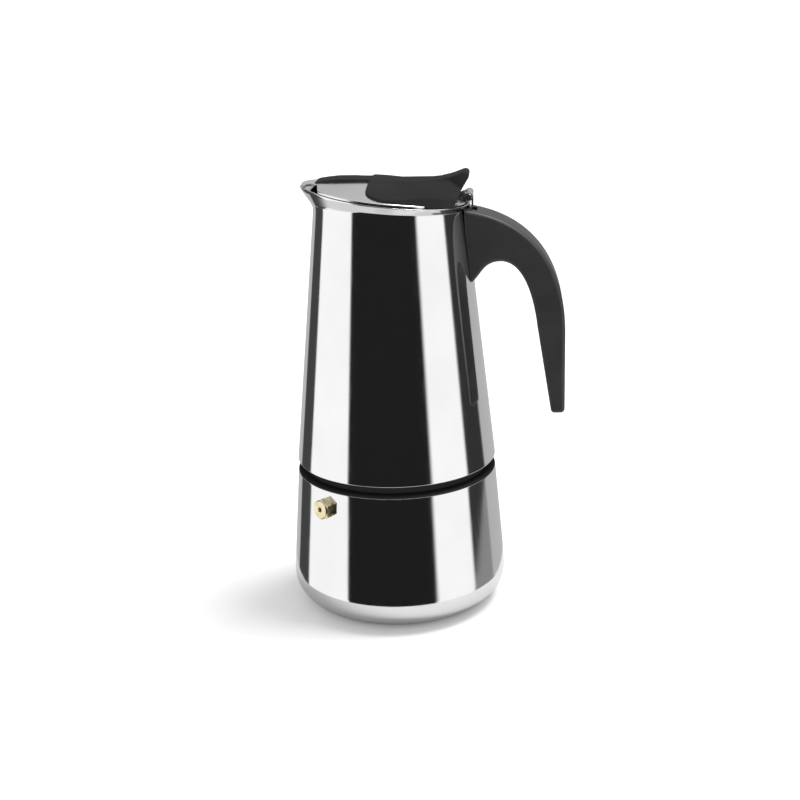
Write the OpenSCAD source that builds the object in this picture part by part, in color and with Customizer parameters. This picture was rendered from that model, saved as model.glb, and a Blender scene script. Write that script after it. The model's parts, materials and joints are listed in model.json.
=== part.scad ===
// Stove-top moka pot: lower boiler, funnel, screwed-on jug, handle and hinged lid.
// Frame: +Z up, spout along -X, handle along +X, origin at the centre of the base.

/* [Boiler] */
// Radius of the boiler foot
base_r = 50; // [48:0.5:53]
// Radius of the boiler at its shoulder
boiler_top_r = 45.7; // [44.5:0.1:47]
// Height of the boiler shoulder
shoulder_z = 65; // [60:0.5:75]
// Rounding of the foot
foot_round = 14.5; // [8:0.5:16]
// Rounding of the shoulder
shoulder_round = 2; // [1:0.1:3]
// Wall of the boiler
boiler_wall = 1; // [0.7:0.1:1.4]
// Inner radius of the threaded neck
neck_bore_r = 33; // [32:0.1:33.5]
// Wall of the neck under the thread
neck_wall = 1.4; // [1:0.1:1.4]
// Height of the neck above the shoulder
neck_h = 16; // [14:0.5:18]

/* [Thread] */
// Rise of the thread in one turn
thread_pitch = 3; // [2.5:0.1:3.2]
// Turns that hold the jug
thread_turns = 3; // [2:0.25:3]
// Depth of the thread
thread_depth = 1; // [0.8:0.1:1.2]
// Radial clearance between the two threads
thread_gap = 0.45; // [0.4:0.05:0.6]

/* [Safety valve] */
// Direction of the valve around the boiler, in degrees from +X
valve_turn = 231; // [190:1:260]
// Height of the valve
valve_z = 56; // [48:0.5:56]
// Width of the hexagon across its flats
valve_flats = 8.6; // [8:0.1:10]
// Length of the hexagon
valve_hex_l = 3.2; // [2.5:0.1:4]
// Radius of the threaded shank
valve_shank_r = 3; // [2.6:0.1:3.2]
// Length of the shank behind the washer
valve_shank_l = 7; // [6:0.5:8]
// Thickness of the sealing washer
valve_washer_t = 0.8; // [0.6:0.1:1.2]
// Thickness of the inner nut
valve_nut_t = 2.4; // [2:0.1:3]
// Radius of the relief pin
valve_pin_r = 0.8; // [0.6:0.05:1]
// Travel of the relief pin
valve_travel = 1.2; // [0.8:0.1:1.5]

/* [Funnel] */
// Outer radius of the coffee basket
basket_r = 32; // [30:0.1:32.3]
// Depth of the basket below the neck rim
basket_depth = 20; // [16:0.5:22]
// Wall of the basket
basket_wall = 0.8; // [0.6:0.1:1]
// Radius of the rim flange
flange_r = 34.2; // [33.8:0.1:34.3]
// Outer radius of the feed stem
stem_r = 5; // [4.5:0.1:6]
// Gap between the stem and the boiler floor
stem_foot_gap = 7; // [5:0.5:12]

/* [Seal and filter] */
// Thickness of the gasket
gasket_t = 3; // [2.5:0.1:3.5]
// Outer radius of the gasket
gasket_r = 35.6; // [35.2:0.1:35.8]
// Inner radius of the gasket
gasket_bore_r = 28.4; // [27:0.1:29]
// Thickness of the filter plate
filter_t = 0.6; // [0.5:0.05:0.8]
// Radius of each hole in the filter plate and the strainer
filter_hole_r = 0.7; // [0.5:0.05:0.9]
// Rings of holes in the filter plate
filter_rings = 4; // [3:1:5]

/* [Jug] */
// Height of the dark groove between boiler and jug
groove_h = 4.4; // [3.5:0.1:6]
// Radius of the groove
groove_r = 42.6; // [41:0.1:43.2]
// Radius of the jug at its lower lip
jug_base_r = 45.9; // [45:0.1:47]
// Height of the jug cone above its lower lip
jug_h = 118; // [105:1:130]
// Radius of the jug under its rim
jug_neck_r = 33.5; // [32:0.1:35]
// Wall of the jug
jug_wall = 0.9; // [0.7:0.1:1.2]
// Slope of the mouth, down towards the handle
mouth_tilt = 6.5; // [5:0.25:7]
// Outer radius of the flared rim
rim_r = 36; // [35.6:0.1:36.4]
// Height of the flared rim
rim_h = 3.3; // [3:0.1:4]
// How much the flare gains in height from the middle to the spout's side
rim_swing = 0.9; // [0.8:0.1:1.2]
// Extra height of the flare right under the spout
spout_drop = 2.9; // [2:0.1:3.5]
// Reach of the pouring lip from the mouth's centre
spout_reach = 39.8; // [38.5:0.1:41]
// Thickness of the jug floor
floor_t = 1.2; // [1:0.1:1.6]

/* [Column] */
// Radius of the column at its foot
column_foot_r = 8; // [7:0.1:9]
// Radius of the column at its top
column_top_r = 6; // [5:0.1:7]
// Bore of the column
column_bore_r = 4.2; // [3.5:0.1:4.6]
// Height of the column
column_h = 64; // [50:1:75]
// Thickness of the column's welded foot flange
column_flange_t = 1; // [0.8:0.1:1.4]

/* [Lid] */
// Gap between the rim and the lid
lid_gap = 0.3; // [0.3:0.05:0.5]
// Outer radius of the lid
lid_r = 35; // [34.5:0.1:35.2]
// Reach of the lid over the pouring lip
lid_nose = 39; // [38:0.1:39.5]
// Height of the lid's edge
lid_edge = 1; // [0.9:0.1:1.4]
// Rise of the lid from edge to centre
lid_rise = 4.4; // [4:0.1:4.8]
// Thickness of the lid
lid_t = 0.8; // [0.6:0.1:1]

/* [Lid grip] */
// Half width of the raised rib
rib_half = 6.7; // [6:0.1:8]
// Height of the rib over the crown of the lid
rib_t = 2; // [1.5:0.1:2.4]
// Front edge of the wing, from the mouth's centre
wing_front = -8; // [-14:0.5:-2]
// Radius of the wing's outline
wing_r = 33.6; // [33:0.1:34]
// Distance of the outline's centre behind the mouth's centre
wing_back = 3.4; // [3:0.1:3.6]
// Thickness of the wing over the lid, at its front
wing_t = 0.9; // [0.8:0.1:1.2]
// Fall of the wing from rib to edge
wing_fall = 3.9; // [3.5:0.1:4.2]
// Height of the wing's edge over the rim, at the rim
wing_edge = 4.2; // [3.8:0.1:4.8]
// Height the wing's bevelled edge gains for each millimetre inward
wing_bevel = 0.65; // [0.5:0.05:0.8]
// Height of the thumb tab over the rib
tab_rise = 3.7; // [2.5:0.1:5]

/* [Hinge] */
// Radius of the hinge pin
pin_r = 0.9; // [0.8:0.05:1]
// Distance of the pin behind the mouth's centre
pin_x = 35.5; // [35.2:0.1:36]
// Height of the pin above the rim, at the hinge
pin_rise = 3.3; // [3:0.1:3.6]
// Half length of the rolled hinge
hinge_half = 8; // [7:0.1:8.4]
// Half length of the middle knuckle
knuckle_half = 3.8; // [3:0.1:4.2]
// Thickness of the hinge sheet
hinge_t = 0.75; // [0.6:0.05:0.8]

/* [Handle] */
// Width of the grip
grip_w = 20; // [18:0.5:24]
// Reach of the grip from the pot's axis
grip_reach = 77.6; // [72:0.5:84]
// Height of the grip's lower end
grip_foot_z = 91.5; // [85:0.5:100]
// Thickness of the grip at its lower end
grip_foot_t = 6.2; // [5:0.1:8]
// Drop from the rim to the grip's top at the jug
grip_drop = 6.7; // [6.6:0.1:9]
// Height of the root at the jug, from its lowest point to the grip's top
root_h = 32; // [28:0.5:36]
// Radius of the handle screw
handle_screw_r = 2; // [1.6:0.1:2.4]

/* [Hidden] */

$fn = 64;
eps = 0.01;                 // small overrun of a cutting solid
body_gap = 0.4;             // gap between bodies that move apart
fit_gap = 0.05;             // running gap of a pin in its bore
seat_gap = 0.15;            // gap of a part in its recess
lip_half = 48;              // half width of the pouring lip, in degrees
skin_sides = 72;            // points round the jug and the lid
steel = "#c9ccd0";
steel_dark = "#9a9da2";
brass = "#b98d3c";
plastic = "#303033";
silicone = "#d8d6cf";

// Boiler and neck
boiler_lean = atan((base_r - boiler_top_r) / (shoulder_z - foot_round));
neck_r = neck_bore_r + neck_wall;
neck_z = shoulder_z + neck_h;
thread_mid_r = neck_r + 0.4 + thread_depth / 2;
thread_l = thread_pitch * thread_turns;
thread_z = neck_z - thread_l - 1.5;
thread_sides = 32;
thread_steps = 8;

// Inside of the safety valve
valve_lip_t = 1.2;
valve_ring_drop = 0.3;
valve_seat_gap = 0.1;
valve_collar_t = 1;
valve_ring_t = 0.7;
valve_bore_wall = 1.2;

valve_chamber_l = valve_shank_l + valve_washer_t + valve_hex_l - valve_lip_t;
valve_collar_start = valve_ring_drop + valve_ring_t + valve_seat_gap - valve_shank_l;

// Stack between the neck and the jug floor
flange_t = 0.8;
flange_z = neck_z + 0.2;
gasket_z = flange_z + flange_t + lid_gap;
floor_z = gasket_z + gasket_t;
filter_z = gasket_z + (gasket_t - filter_t) / 2;
filter_r = gasket_bore_r + 0.9;
basket_z = neck_z - basket_depth;
basket_cone_h = 9;
stem_bore_r = stem_r - 0.8;
strainer_t = 0.6;

// Jug
jug_z = shoulder_z + groove_h;
neck_line_z = jug_z + jug_h;
jug_lean = atan((jug_base_r - jug_neck_r) / jug_h);
band_z = shoulder_z + body_gap;
ring_r = thread_mid_r + thread_depth / 2 + thread_gap + 2.4;
rim_z = neck_line_z + rim_h;
lip_depth = 9;              // depth of the pouring lip under the rim
column_z = floor_z + floor_t;
cap_r = column_top_r + 1.6;
cap_h = 8;

// Lid: a low dome on a short skirt, in the mouth's own sloping frame
lid_notch_half = hinge_half + 1.2;
lid_notch_x = 29;
pour_hole_x = -33.6;
pour_hole_half = 3.2;
pour_hole_h = 1.3;
pour_hole_inner = 8;        // distance of each pour hole's inner end from the middle

// Lid grip, heights in the pot's frame
rib_z = rim_z + lid_gap + lid_edge + lid_rise + rib_t;
rib_low_z = rib_z - 1.35;
tab_z = rib_low_z + tab_rise;
rib_front_x = -32;
tab_tip_x = pin_x + 0.1;

// Hinge pin place and rolled sheet
pin_z = rim_z - pin_x * tan(mouth_tilt) + pin_rise;
bore_r = pin_r + fit_gap;
knuckle_r = bore_r + hinge_t;
sheet_r = bore_r + hinge_t / 2;
knuckle_gap = 0.3;
leaf_x = [16.5, 25.5, lid_notch_x + 0.2];
lid_screw_x = 20.5;
lid_screw_y = 5;
lid_screw_r = 1.2;
lid_screw_lean = mouth_tilt + atan(2 * lid_rise * lid_screw_x / pow(lid_r, 2));

// Handle
grip_top_z = rim_z - grip_drop;
root_foot_z = grip_top_z - root_h;
bracket_t = 1.2;
bracket_half = 7.5;
bracket_z = [root_foot_z + 6, grip_top_z - 9];
strap_z = [grip_top_z - 6.5, grip_top_z - 1.5];
tongue_z = root_foot_z + 0.42 * root_h;
screw_seat_z = tongue_z - 1.2;
tongue_t = 3.5;
tongue_l = 13;
handle_screw_x = jug_r(tongue_z) + 7.2;

// Outer radius of the boiler and of the jug at a height
function boiler_r(z) = boiler_top_r + (shoulder_z - z) * tan(boiler_lean);
function jug_r(z) = jug_base_r - (z - jug_z) * tan(jug_lean);
// Height of the lid's outer and inner faces at x, on the centre line
function lid_top_z(x) = rim_z - x * tan(mouth_tilt) + lid_gap + lid_edge
    + lid_rise * (1 - pow(x / lid_r, 2));
function lid_under_z(x) = lid_top_z(x) - lid_t;
// Point of a cubic curve
function curve(p, t) = pow(1 - t, 3) * p[0] + 3 * pow(1 - t, 2) * t * p[1]
    + 3 * (1 - t) * t * t * p[2] + pow(t, 3) * p[3];
function curve_points(p, steps) = [for (i = [0:steps]) curve(p, i / steps)];

// How far a pouring lip is drawn out at an angle: 1 at the spout, 0 past its sides
function lip(turn) = let (off = abs(turn - 180)) off < lip_half ? pow(cos(off * 90 / lip_half), 4) : 0;

// Skins a row of rings, each a list of points; closed rows join the last ring to the first
module ring_skin(rings, closed) {
    n = len(rings[0]);
    m = len(rings);
    last = closed ? m - 1 : m - 2;
    sides = [for (i = [0:last]) for (j = [0:n - 1])
        let (a = i * n + j, b = i * n + (j + 1) % n, c = ((i + 1) % m) * n + (j + 1) % n, d = ((i + 1) % m) * n + j)
        each [[a, c, b], [a, d, c]]];
    ends = closed ? [] : [[for (j = [0:n - 1]) j], [for (j = [n - 1:-1:0]) (m - 1) * n + j]];
    polyhedron([for (ring = rings) each ring], concat(sides, ends), convexity = 8);
}

// A sheet strip through points, with round ends and joints
module strip(points, t) {
    for (i = [0:len(points) - 2]) {
        step = points[i + 1] - points[i];
        translate(points[i]) rotate(atan2(step.y, step.x))
            translate([0, -t / 2]) square([norm(step), t]);
    }
    for (p = points) translate(p) circle(d = t, $fn = 24);
}

// Stands a side profile (x, z) on edge and gives it a width across Y
module across(half) {
    rotate([90, 0, 0]) linear_extrude(2 * half, center = true) children();
}

// Places children in the frame of the sloping mouth
module at_mouth() {
    translate([0, 0, rim_z]) rotate([0, mouth_tilt, 0]) children();
}

// A helical ridge: a round core whose centre circles the axis while it climbs
module helix_core(r, length) {
    steps = ceil(thread_steps * length / thread_pitch);
    ring_skin([for (i = [0:steps])
        let (z = length * i / steps, lead = 360 * z / thread_pitch)
        [for (j = [0:thread_sides - 1]) let (a = 360 * j / thread_sides)
            [r * cos(a) + thread_depth / 2 * cos(lead), r * sin(a) + thread_depth / 2 * sin(lead), z]]], false);
}

// Places children along the valve's axis, square to the wall, at a distance outside it
module at_valve(out) {
    rotate([0, 0, valve_turn]) translate([boiler_r(valve_z), 0, valve_z])
        rotate([0, 90 - boiler_lean, 0]) translate([0, 0, out]) children();
}

// Rings of small holes around the axis
module hole_field(rings, step, h) {
    cylinder(r = filter_hole_r, h = h, $fn = 24);
    for (ring = [1:rings]) {
        count = 6 * ring;
        for (i = [0:count - 1])
            rotate(i * 360 / count) translate([ring * step, 0, 0])
                cylinder(r = filter_hole_r, h = h, $fn = 24);
    }
}

// ---- Lower chamber ----

module boiler_solid(inset) {
    rotate_extrude() {
        foot_x = base_r - foot_round;
        polygon([[0, inset], [foot_x, inset], [foot_x, foot_round],
                 [base_r - inset, foot_round],
                 [boiler_r(shoulder_z - shoulder_round) - inset, shoulder_z - shoulder_round],
                 [boiler_top_r - shoulder_round, shoulder_z - inset], [0, shoulder_z - inset]]);
        intersection() {
            translate([foot_x, foot_round]) circle(foot_round - inset);
            translate([foot_x, 0]) square([foot_round, foot_round]);
        }
        translate([boiler_top_r - shoulder_round, shoulder_z - shoulder_round])
            circle(shoulder_round - inset);
    }
}

module boiler() {
    color(steel) difference() {
        boiler_solid(0);
        boiler_solid(boiler_wall);
        translate([0, 0, shoulder_z - 3]) cylinder(r = neck_bore_r, h = 4);
        at_valve(-10) cylinder(r = valve_shank_r + fit_gap, h = 20);
    }
}

// Threaded neck welded onto the shoulder
module boiler_collar() {
    collar_flange_t = 0.3;
    color(steel) difference() {
        union() {
            translate([0, 0, shoulder_z]) cylinder(r = neck_r, h = neck_h);
            translate([0, 0, shoulder_z]) cylinder(r = neck_r + 1.6, h = collar_flange_t);
            translate([0, 0, thread_z]) helix_core(thread_mid_r, thread_l);
        }
        translate([0, 0, shoulder_z - eps]) cylinder(r = neck_bore_r, h = neck_h + 2 * eps);
    }
}

module valve_body() {
    bevel = 0.6;
    color(brass) difference() {
        union() {
            at_valve(valve_washer_t) cylinder(d = valve_flats / cos(30), h = valve_hex_l - bevel, $fn = 6);
            at_valve(valve_washer_t + valve_hex_l - bevel - eps)
                cylinder(d1 = valve_flats, d2 = valve_flats - 1, h = bevel);
            at_valve(-valve_shank_l) cylinder(r = valve_shank_r, h = valve_shank_l + valve_washer_t + eps);
        }
        at_valve(-valve_shank_l - eps) cylinder(r = valve_pin_r + valve_bore_wall, h = valve_chamber_l);
        at_valve(-eps) cylinder(r = valve_pin_r + 0.35, h = 2 * valve_hex_l);
    }
}

module valve_washer() {
    color(silicone) difference() {
        at_valve(0) cylinder(d = valve_flats + 0.6, h = valve_washer_t);
        at_valve(-eps) cylinder(r = valve_shank_r + fit_gap, h = valve_washer_t + 2 * eps);
    }
}

module valve_nut() {
    seat = -boiler_wall - 0.35;
    color(brass) difference() {
        at_valve(seat - valve_nut_t) cylinder(d = valve_flats / cos(30), h = valve_nut_t, $fn = 6);
        at_valve(seat - valve_nut_t - eps) cylinder(r = valve_shank_r + fit_gap / 2, h = valve_nut_t + 2 * eps);
    }
}

// Relief pin: a stem with a collar that the spring presses onto the ring
module valve_pin() {
    tip = valve_washer_t + valve_hex_l - valve_travel - 0.2;
    start = valve_ring_drop / 2 - valve_shank_l;
    color(steel) {
        at_valve(start) cylinder(r = valve_pin_r, h = tip - start);
        at_valve(valve_collar_start) cylinder(r = valve_pin_r + 0.9, h = valve_collar_t);
    }
}

// Spring between the pin's collar and the lip of the body
module valve_spring() {
    start = valve_collar_start + valve_collar_t + 0.1;
    end = valve_chamber_l - valve_shank_l - 0.1;
    coils = 5;
    wire_r = 0.2;
    step = (end - start - 2 * wire_r) / (coils - 1);
    color(steel) for (i = [0:coils - 1])
        at_valve(start + wire_r + i * step) rotate_extrude()
            translate([valve_pin_r + 0.65, 0]) circle(wire_r, $fn = 16);
}

// Ring in the inner end of the body, the seat of the pin's collar
module valve_ring() {
    back = valve_ring_drop - valve_shank_l;
    color(steel_dark) difference() {
        at_valve(back) cylinder(r = valve_pin_r + valve_bore_wall, h = valve_ring_t);
        at_valve(back - eps) cylinder(r = valve_pin_r + fit_gap, h = valve_ring_t + 2 * eps);
    }
}

// ---- Funnel ----

module funnel_basket() {
    color(steel) difference() {
        union() {
            translate([0, 0, basket_z]) cylinder(r = basket_r, h = neck_z - basket_z + eps);
            translate([0, 0, flange_z]) cylinder(r = flange_r, h = flange_t);
            translate([0, 0, neck_z]) cylinder(r = basket_r, h = flange_z - neck_z + eps);
            translate([0, 0, basket_z - basket_cone_h])
                cylinder(r1 = stem_r + 0.8, r2 = basket_r, h = basket_cone_h);
        }
        translate([0, 0, basket_z]) cylinder(r = basket_r - basket_wall, h = neck_h + basket_depth);
        translate([0, 0, basket_z - basket_cone_h + basket_wall])
            cylinder(r1 = stem_r, r2 = basket_r - basket_wall - 0.8, h = basket_cone_h - basket_wall + eps);
        translate([0, 0, basket_z - basket_cone_h - eps]) cylinder(r = stem_r + fit_gap / 2, h = basket_cone_h);
    }
}

module funnel_stem() {
    foot = stem_foot_gap + boiler_wall;
    color(steel) difference() {
        translate([0, 0, foot]) cylinder(r = stem_r, h = basket_z - basket_cone_h + 2 - foot);
        translate([0, 0, foot - eps]) cylinder(r = stem_bore_r, h = basket_z);
    }
}

module funnel_strainer() {
    strainer_r = basket_r - basket_wall - seat_gap;
    strainer_step = 5.6;
    color(steel_dark) difference() {
        translate([0, 0, basket_z]) cylinder(r = strainer_r, h = strainer_t);
        translate([0, 0, basket_z - eps]) hole_field(4, strainer_step, strainer_t + 2 * eps);
    }
}

// ---- Seal and filter, carried under the jug ----

module gasket() {
    color(silicone) difference() {
        translate([0, 0, gasket_z]) cylinder(r = gasket_r, h = gasket_t);
        translate([0, 0, gasket_z - eps]) cylinder(r = gasket_bore_r, h = gasket_t + 2 * eps);
        translate([0, 0, filter_z - seat_gap / 2])
            cylinder(r = filter_r + seat_gap / 2, h = filter_t + seat_gap);
    }
}

module filter_plate() {
    filter_step = (gasket_bore_r - 3) / filter_rings;
    color(steel) difference() {
        translate([0, 0, filter_z]) cylinder(r = filter_r, h = filter_t);
        translate([0, 0, filter_z - eps]) hole_field(filter_rings, filter_step, filter_t + 2 * eps);
    }
}

// ---- Jug ----

module jug_cone(inset, z0, z1) {
    translate([0, 0, z0]) cylinder(r1 = jug_r(z0) - inset, r2 = jug_r(z1) - inset, h = z1 - z0);
}

// Height of the flare at an angle
function flare_h(turn) = rim_h - rim_swing * cos(turn) + spout_drop * pow(max(0, -cos(turn)), 2);

// Point of the jug's mouth: an angle, a place and an inset. The place is 0 on the rim,
// 1 where the flare starts and 2 where the pouring lip has faded out
function mouth_point(turn, place, inset) =
    let (flare = flare_h(turn),
         down = place < 1 ? place * flare : flare + (place - 1) * (lip_depth - flare),
         drawn = (spout_reach - rim_r) * lip(turn) * max(0, 1 - pow(down / lip_depth, 1.3)),
         z = rim_z - down - (rim_r + drawn) * cos(turn) * tan(mouth_tilt),
         flared = (rim_r - jug_neck_r) * min(1, 1.15 * max(0, 1 - place)),
         r = jug_r(z) + flared + drawn - inset)
    [r * cos(turn), r * sin(turn), z];
function mouth_ring(place, inset) =
    [for (i = [0:skin_sides - 1]) mouth_point(i * 360 / skin_sides, place, inset)];
function flat_ring(r, z) =
    [for (i = [0:skin_sides - 1]) [r * cos(i * 360 / skin_sides), r * sin(i * 360 / skin_sides), z]];

module jug_body() {
    lip_r = jug_wall;
    places = [2, 1.5, 1.2, 1, 0.7, 0.4, 0.13, 0];
    last = len(places) - 1;
    outside = [for (place = places) mouth_ring(place, 0)];
    inside = [for (i = [last:-1:0]) mouth_ring(places[i], jug_wall)];
    foot = [flat_ring(jug_base_r - lip_r, jug_z + lip_r), flat_ring(groove_r - jug_wall, jug_z + lip_r),
            flat_ring(groove_r - jug_wall, band_z + jug_wall), flat_ring(ring_r, band_z + jug_wall),
            flat_ring(ring_r, band_z), flat_ring(groove_r, band_z), flat_ring(groove_r, jug_z),
            flat_ring(jug_base_r - lip_r, jug_z), flat_ring(jug_base_r - 0.3 * lip_r, jug_z + 0.3 * lip_r),
            flat_ring(jug_r(jug_z + lip_r), jug_z + lip_r)];
    color(steel) ring_skin(concat(outside, inside, foot), true);
}

module jug_floor() {
    color(steel) difference() {
        jug_cone(jug_wall, floor_z, floor_z + floor_t);
        translate([0, 0, floor_z - eps]) cylinder(r = column_bore_r, h = floor_t + 2 * eps);
    }
}

module threaded_ring() {
    bottom = band_z;
    pocket_r = gasket_r + seat_gap;
    color(steel_dark) difference() {
        translate([0, 0, bottom]) cylinder(r = ring_r - fit_gap, h = floor_z - bottom);
        translate([0, 0, bottom - eps])
            cylinder(r = thread_mid_r + thread_depth / 2 + thread_gap + 0.6, h = thread_z - bottom + 2 * eps);
        translate([0, 0, thread_z]) helix_core(thread_mid_r + thread_gap, thread_l);
        translate([0, 0, thread_z + thread_l - eps]) cylinder(r = pocket_r, h = floor_z);
    }
}

module column() {
    color(steel) difference() {
        union() {
            translate([0, 0, column_z]) cylinder(r = column_foot_r + 3, h = column_flange_t);
            translate([0, 0, column_z]) cylinder(r1 = column_foot_r, r2 = column_top_r, h = column_h);
        }
        translate([0, 0, column_z - eps]) cylinder(r = column_bore_r, h = column_h + 2 * eps);
    }
}

// Cap over the column, with two outlets
module column_cap() {
    top = column_z + column_h;
    skirt = 3;
    color(steel) difference() {
        union() {
            translate([0, 0, top - skirt]) cylinder(r = cap_r, h = skirt + cap_h - 3);
            translate([0, 0, top + cap_h - 3]) cylinder(r1 = cap_r, r2 = cap_r - 3, h = 3);
        }
        translate([0, 0, top - skirt - eps]) cylinder(r = column_top_r + 0.35, h = skirt + eps);
        translate([0, 0, top - eps]) cylinder(r = column_bore_r + 0.8, h = cap_h - 1.5);
        translate([0, 0, top + 2.4]) rotate([90, 0, 0]) cylinder(r = 1.8, h = 4 * cap_r, center = true);
    }
}

// ---- Handle ----

module handle_bracket() {
    color(steel_dark) {
        difference() {
            intersection() {
                jug_cone(-bracket_t, bracket_z[0], bracket_z[1]);
                translate([0, -bracket_half, 0]) cube([base_r, 2 * bracket_half, rim_z]);
            }
            jug_cone(0, bracket_z[0] - 1, bracket_z[1] + 1);
        }
        difference() {
            translate([jug_r(tongue_z), -5, tongue_z]) cube([tongue_l, 10, tongue_t]);
            jug_cone(bracket_t / 2 - bracket_t, tongue_z - 1, tongue_z + tongue_t + 1);
            translate([handle_screw_x, 0, tongue_z - 1]) cylinder(r = handle_screw_r + fit_gap / 2, h = tongue_t + 2);
        }
    }
}

// Side outline of the grip
module grip_outline() {
    foot_round_r = 1.6;
    fall = grip_top_z - grip_foot_z;
    wall_x = jug_r(root_foot_z);
    arch_z = root_foot_z + 0.297 * root_h;
    outer = curve_points([[jug_neck_r - 0.4, grip_top_z + 0.5], [0.747 * grip_reach, grip_top_z - 3],
                          [grip_reach - 0.6, grip_top_z - 0.205 * fall],
                          [grip_reach, grip_top_z - 0.584 * fall]], 16);
    root = curve_points([[wall_x - 1.2, root_foot_z], [wall_x + 3.3, root_foot_z + 0.094 * root_h],
                         [wall_x + 3.8, arch_z], [0.633 * grip_reach, arch_z]], 8);
    hollow = curve_points([[0.633 * grip_reach, arch_z], [0.76 * grip_reach, arch_z - 0.2],
                           [0.818 * grip_reach, grip_top_z - 0.411 * fall],
                           [0.84 * grip_reach, grip_top_z - 0.562 * fall]], 12);
    polygon(concat(outer, [[grip_reach, grip_foot_z + foot_round_r],
                           [grip_reach - foot_round_r, grip_foot_z],
                           [grip_reach - grip_foot_t + 1, grip_foot_z],
                           [grip_reach - grip_foot_t, grip_foot_z + 1]],
                   [for (i = [len(hollow) - 1:-1:0]) hollow[i]],
                   [for (i = [len(root) - 2:-1:0]) root[i]]));
}

module handle_grip() {
    slot_half = knuckle_half + 0.6;
    color(plastic) difference() {
        across(grip_w / 2) grip_outline();
        jug_cone(-seat_gap, grip_foot_z, rim_z);
        intersection() {
            jug_cone(-bracket_t - seat_gap, bracket_z[0] - seat_gap, bracket_z[1] + seat_gap);
            translate([0, -bracket_half - seat_gap, 0]) cube([base_r, 2 * (bracket_half + seat_gap), rim_z]);
        }
        translate([0, -slot_half, strap_z[0] - 0.5]) cube([pin_x + knuckle_r + 0.8, 2 * slot_half, rim_h * 4]);
        translate([0, -5 - seat_gap, tongue_z - seat_gap])
            cube([jug_r(tongue_z) + tongue_l + seat_gap, 10 + 2 * seat_gap, tongue_t + 2 * seat_gap]);
        translate([handle_screw_x, 0, root_foot_z])
            cylinder(r = handle_screw_r + seat_gap, h = tongue_z + tongue_t + 4 - root_foot_z);
        translate([handle_screw_x, 0, root_foot_z])
            cylinder(r = 2 * handle_screw_r + 0.4, h = screw_seat_z - root_foot_z);
    }
}

module handle_screw() {
    head_t = 2;
    end_z = tongue_z + tongue_t + 3;
    color(steel) translate([handle_screw_x, 0, screw_seat_z]) difference() {
        union() {
            translate([0, 0, -head_t]) cylinder(r = 2 * handle_screw_r, h = head_t);
            translate([0, 0, -eps]) cylinder(r = handle_screw_r, h = end_z - screw_seat_z);
        }
        translate([0, 0, -head_t - eps]) cylinder(r = handle_screw_r * 0.7, h = 1.2, $fn = 6);
    }
}

// ---- Hinge ----

module knuckle(y0, y1) {
    translate([pin_x, y1, pin_z]) rotate([90, 0, 0]) difference() {
        cylinder(r = knuckle_r, h = y1 - y0);
        translate([0, 0, -eps]) cylinder(r = bore_r, h = y1 - y0 + 2 * eps);
    }
}

module hinge_bracket() {
    out = hinge_t / 2;
    path = [[jug_r(strap_z[0]) + out, strap_z[0]], [jug_r(strap_z[1]) + out, strap_z[1]],
            [pin_x + sheet_r, pin_z - 5], [pin_x + sheet_r, pin_z]];
    color(steel) difference() {
        union() {
            knuckle(-knuckle_half, knuckle_half);
            difference() {
                across(knuckle_half) strip(path, hinge_t);
                translate([pin_x, 0, pin_z]) rotate([90, 0, 0]) cylinder(r = bore_r, h = 4 * hinge_half, center = true);
            }
        }
        jug_cone(0, strap_z[0] - 1, strap_z[1] + 2);
    }
}

module hinge_pin() {
    head_r = pin_r + 0.5;
    head_t = 0.6;
    color(steel_dark) translate([pin_x, 0, pin_z]) rotate([90, 0, 0]) {
        cylinder(r = pin_r, h = 2 * hinge_half + 0.4, center = true);
        for (side = [0, 1]) mirror([0, 0, side])
            translate([0, 0, hinge_half + 0.2 - eps]) cylinder(r1 = head_r, r2 = head_r - 0.3, h = head_t);
    }
}

// Side path of the leaf's middle, from its front edge to the roll round the pin
function leaf_path() =
    let (under = hinge_t / 2 + 0.3, low = [leaf_x[2], lid_under_z(leaf_x[2]) - 0.7],
         reach = [pin_x, pin_z] - low,
         lift = atan2(reach.y, reach.x) + asin(sheet_r / norm(reach)))
    [[leaf_x[0], lid_under_z(leaf_x[0]) - under], [leaf_x[1], lid_under_z(leaf_x[1]) - under],
     low, [pin_x - sheet_r * sin(lift), pin_z + sheet_r * cos(lift)]];

// Room round the leaf, kept clear of the lid and its grip
module leaf_space() {
    across(hinge_half + fit_gap) strip(leaf_path(), hinge_t + 2 * fit_gap);
}

module hinge_leaf() {
    color(steel) difference() {
        union() {
            across(hinge_half) strip(leaf_path(), hinge_t);
            for (side = [0, 1]) mirror([0, side, 0]) knuckle(knuckle_half + knuckle_gap, hinge_half);
        }
        translate([pin_x, 0, pin_z]) rotate([90, 0, 0]) cylinder(r = bore_r, h = 4 * hinge_half, center = true);
        translate([pin_x, 0, pin_z]) rotate([90, 0, 0])
            cylinder(r = knuckle_r + knuckle_gap, h = 2 * (knuckle_half + knuckle_gap), center = true);
        lid_screw_places() translate([0, 0, -10]) cylinder(r = lid_screw_r + fit_gap, h = 20, $fn = 24);
    }
}

// ---- Lid ----

// Ring of the lid in the mouth's frame, at a share of its outline and a height
function lid_ring(share, inset, z) =
    [for (i = [0:skin_sides - 1])
        let (turn = i * 360 / skin_sides, r = (lid_r + (lid_nose - lid_r) * lip(turn) - inset) * share)
        [r * cos(turn), r * sin(turn), z]];
function dome_z(share, inset) = lid_gap + lid_edge - inset + lid_rise * (1 - share * share);

// Solid under the lid's outer face, as plain rings out to a reach
module dome_solid(reach) {
    shares = [1, 0.92, 0.8, 0.65, 0.5, 0.35, 0.2];
    rotate_extrude($fn = skin_sides) polygon(concat([[0, lid_gap - 1], [reach, lid_gap - 1]],
        [for (share = shares) [reach * share, dome_z(share, 0)]], [[0, dome_z(0.2, 0)]]));
}

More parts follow.
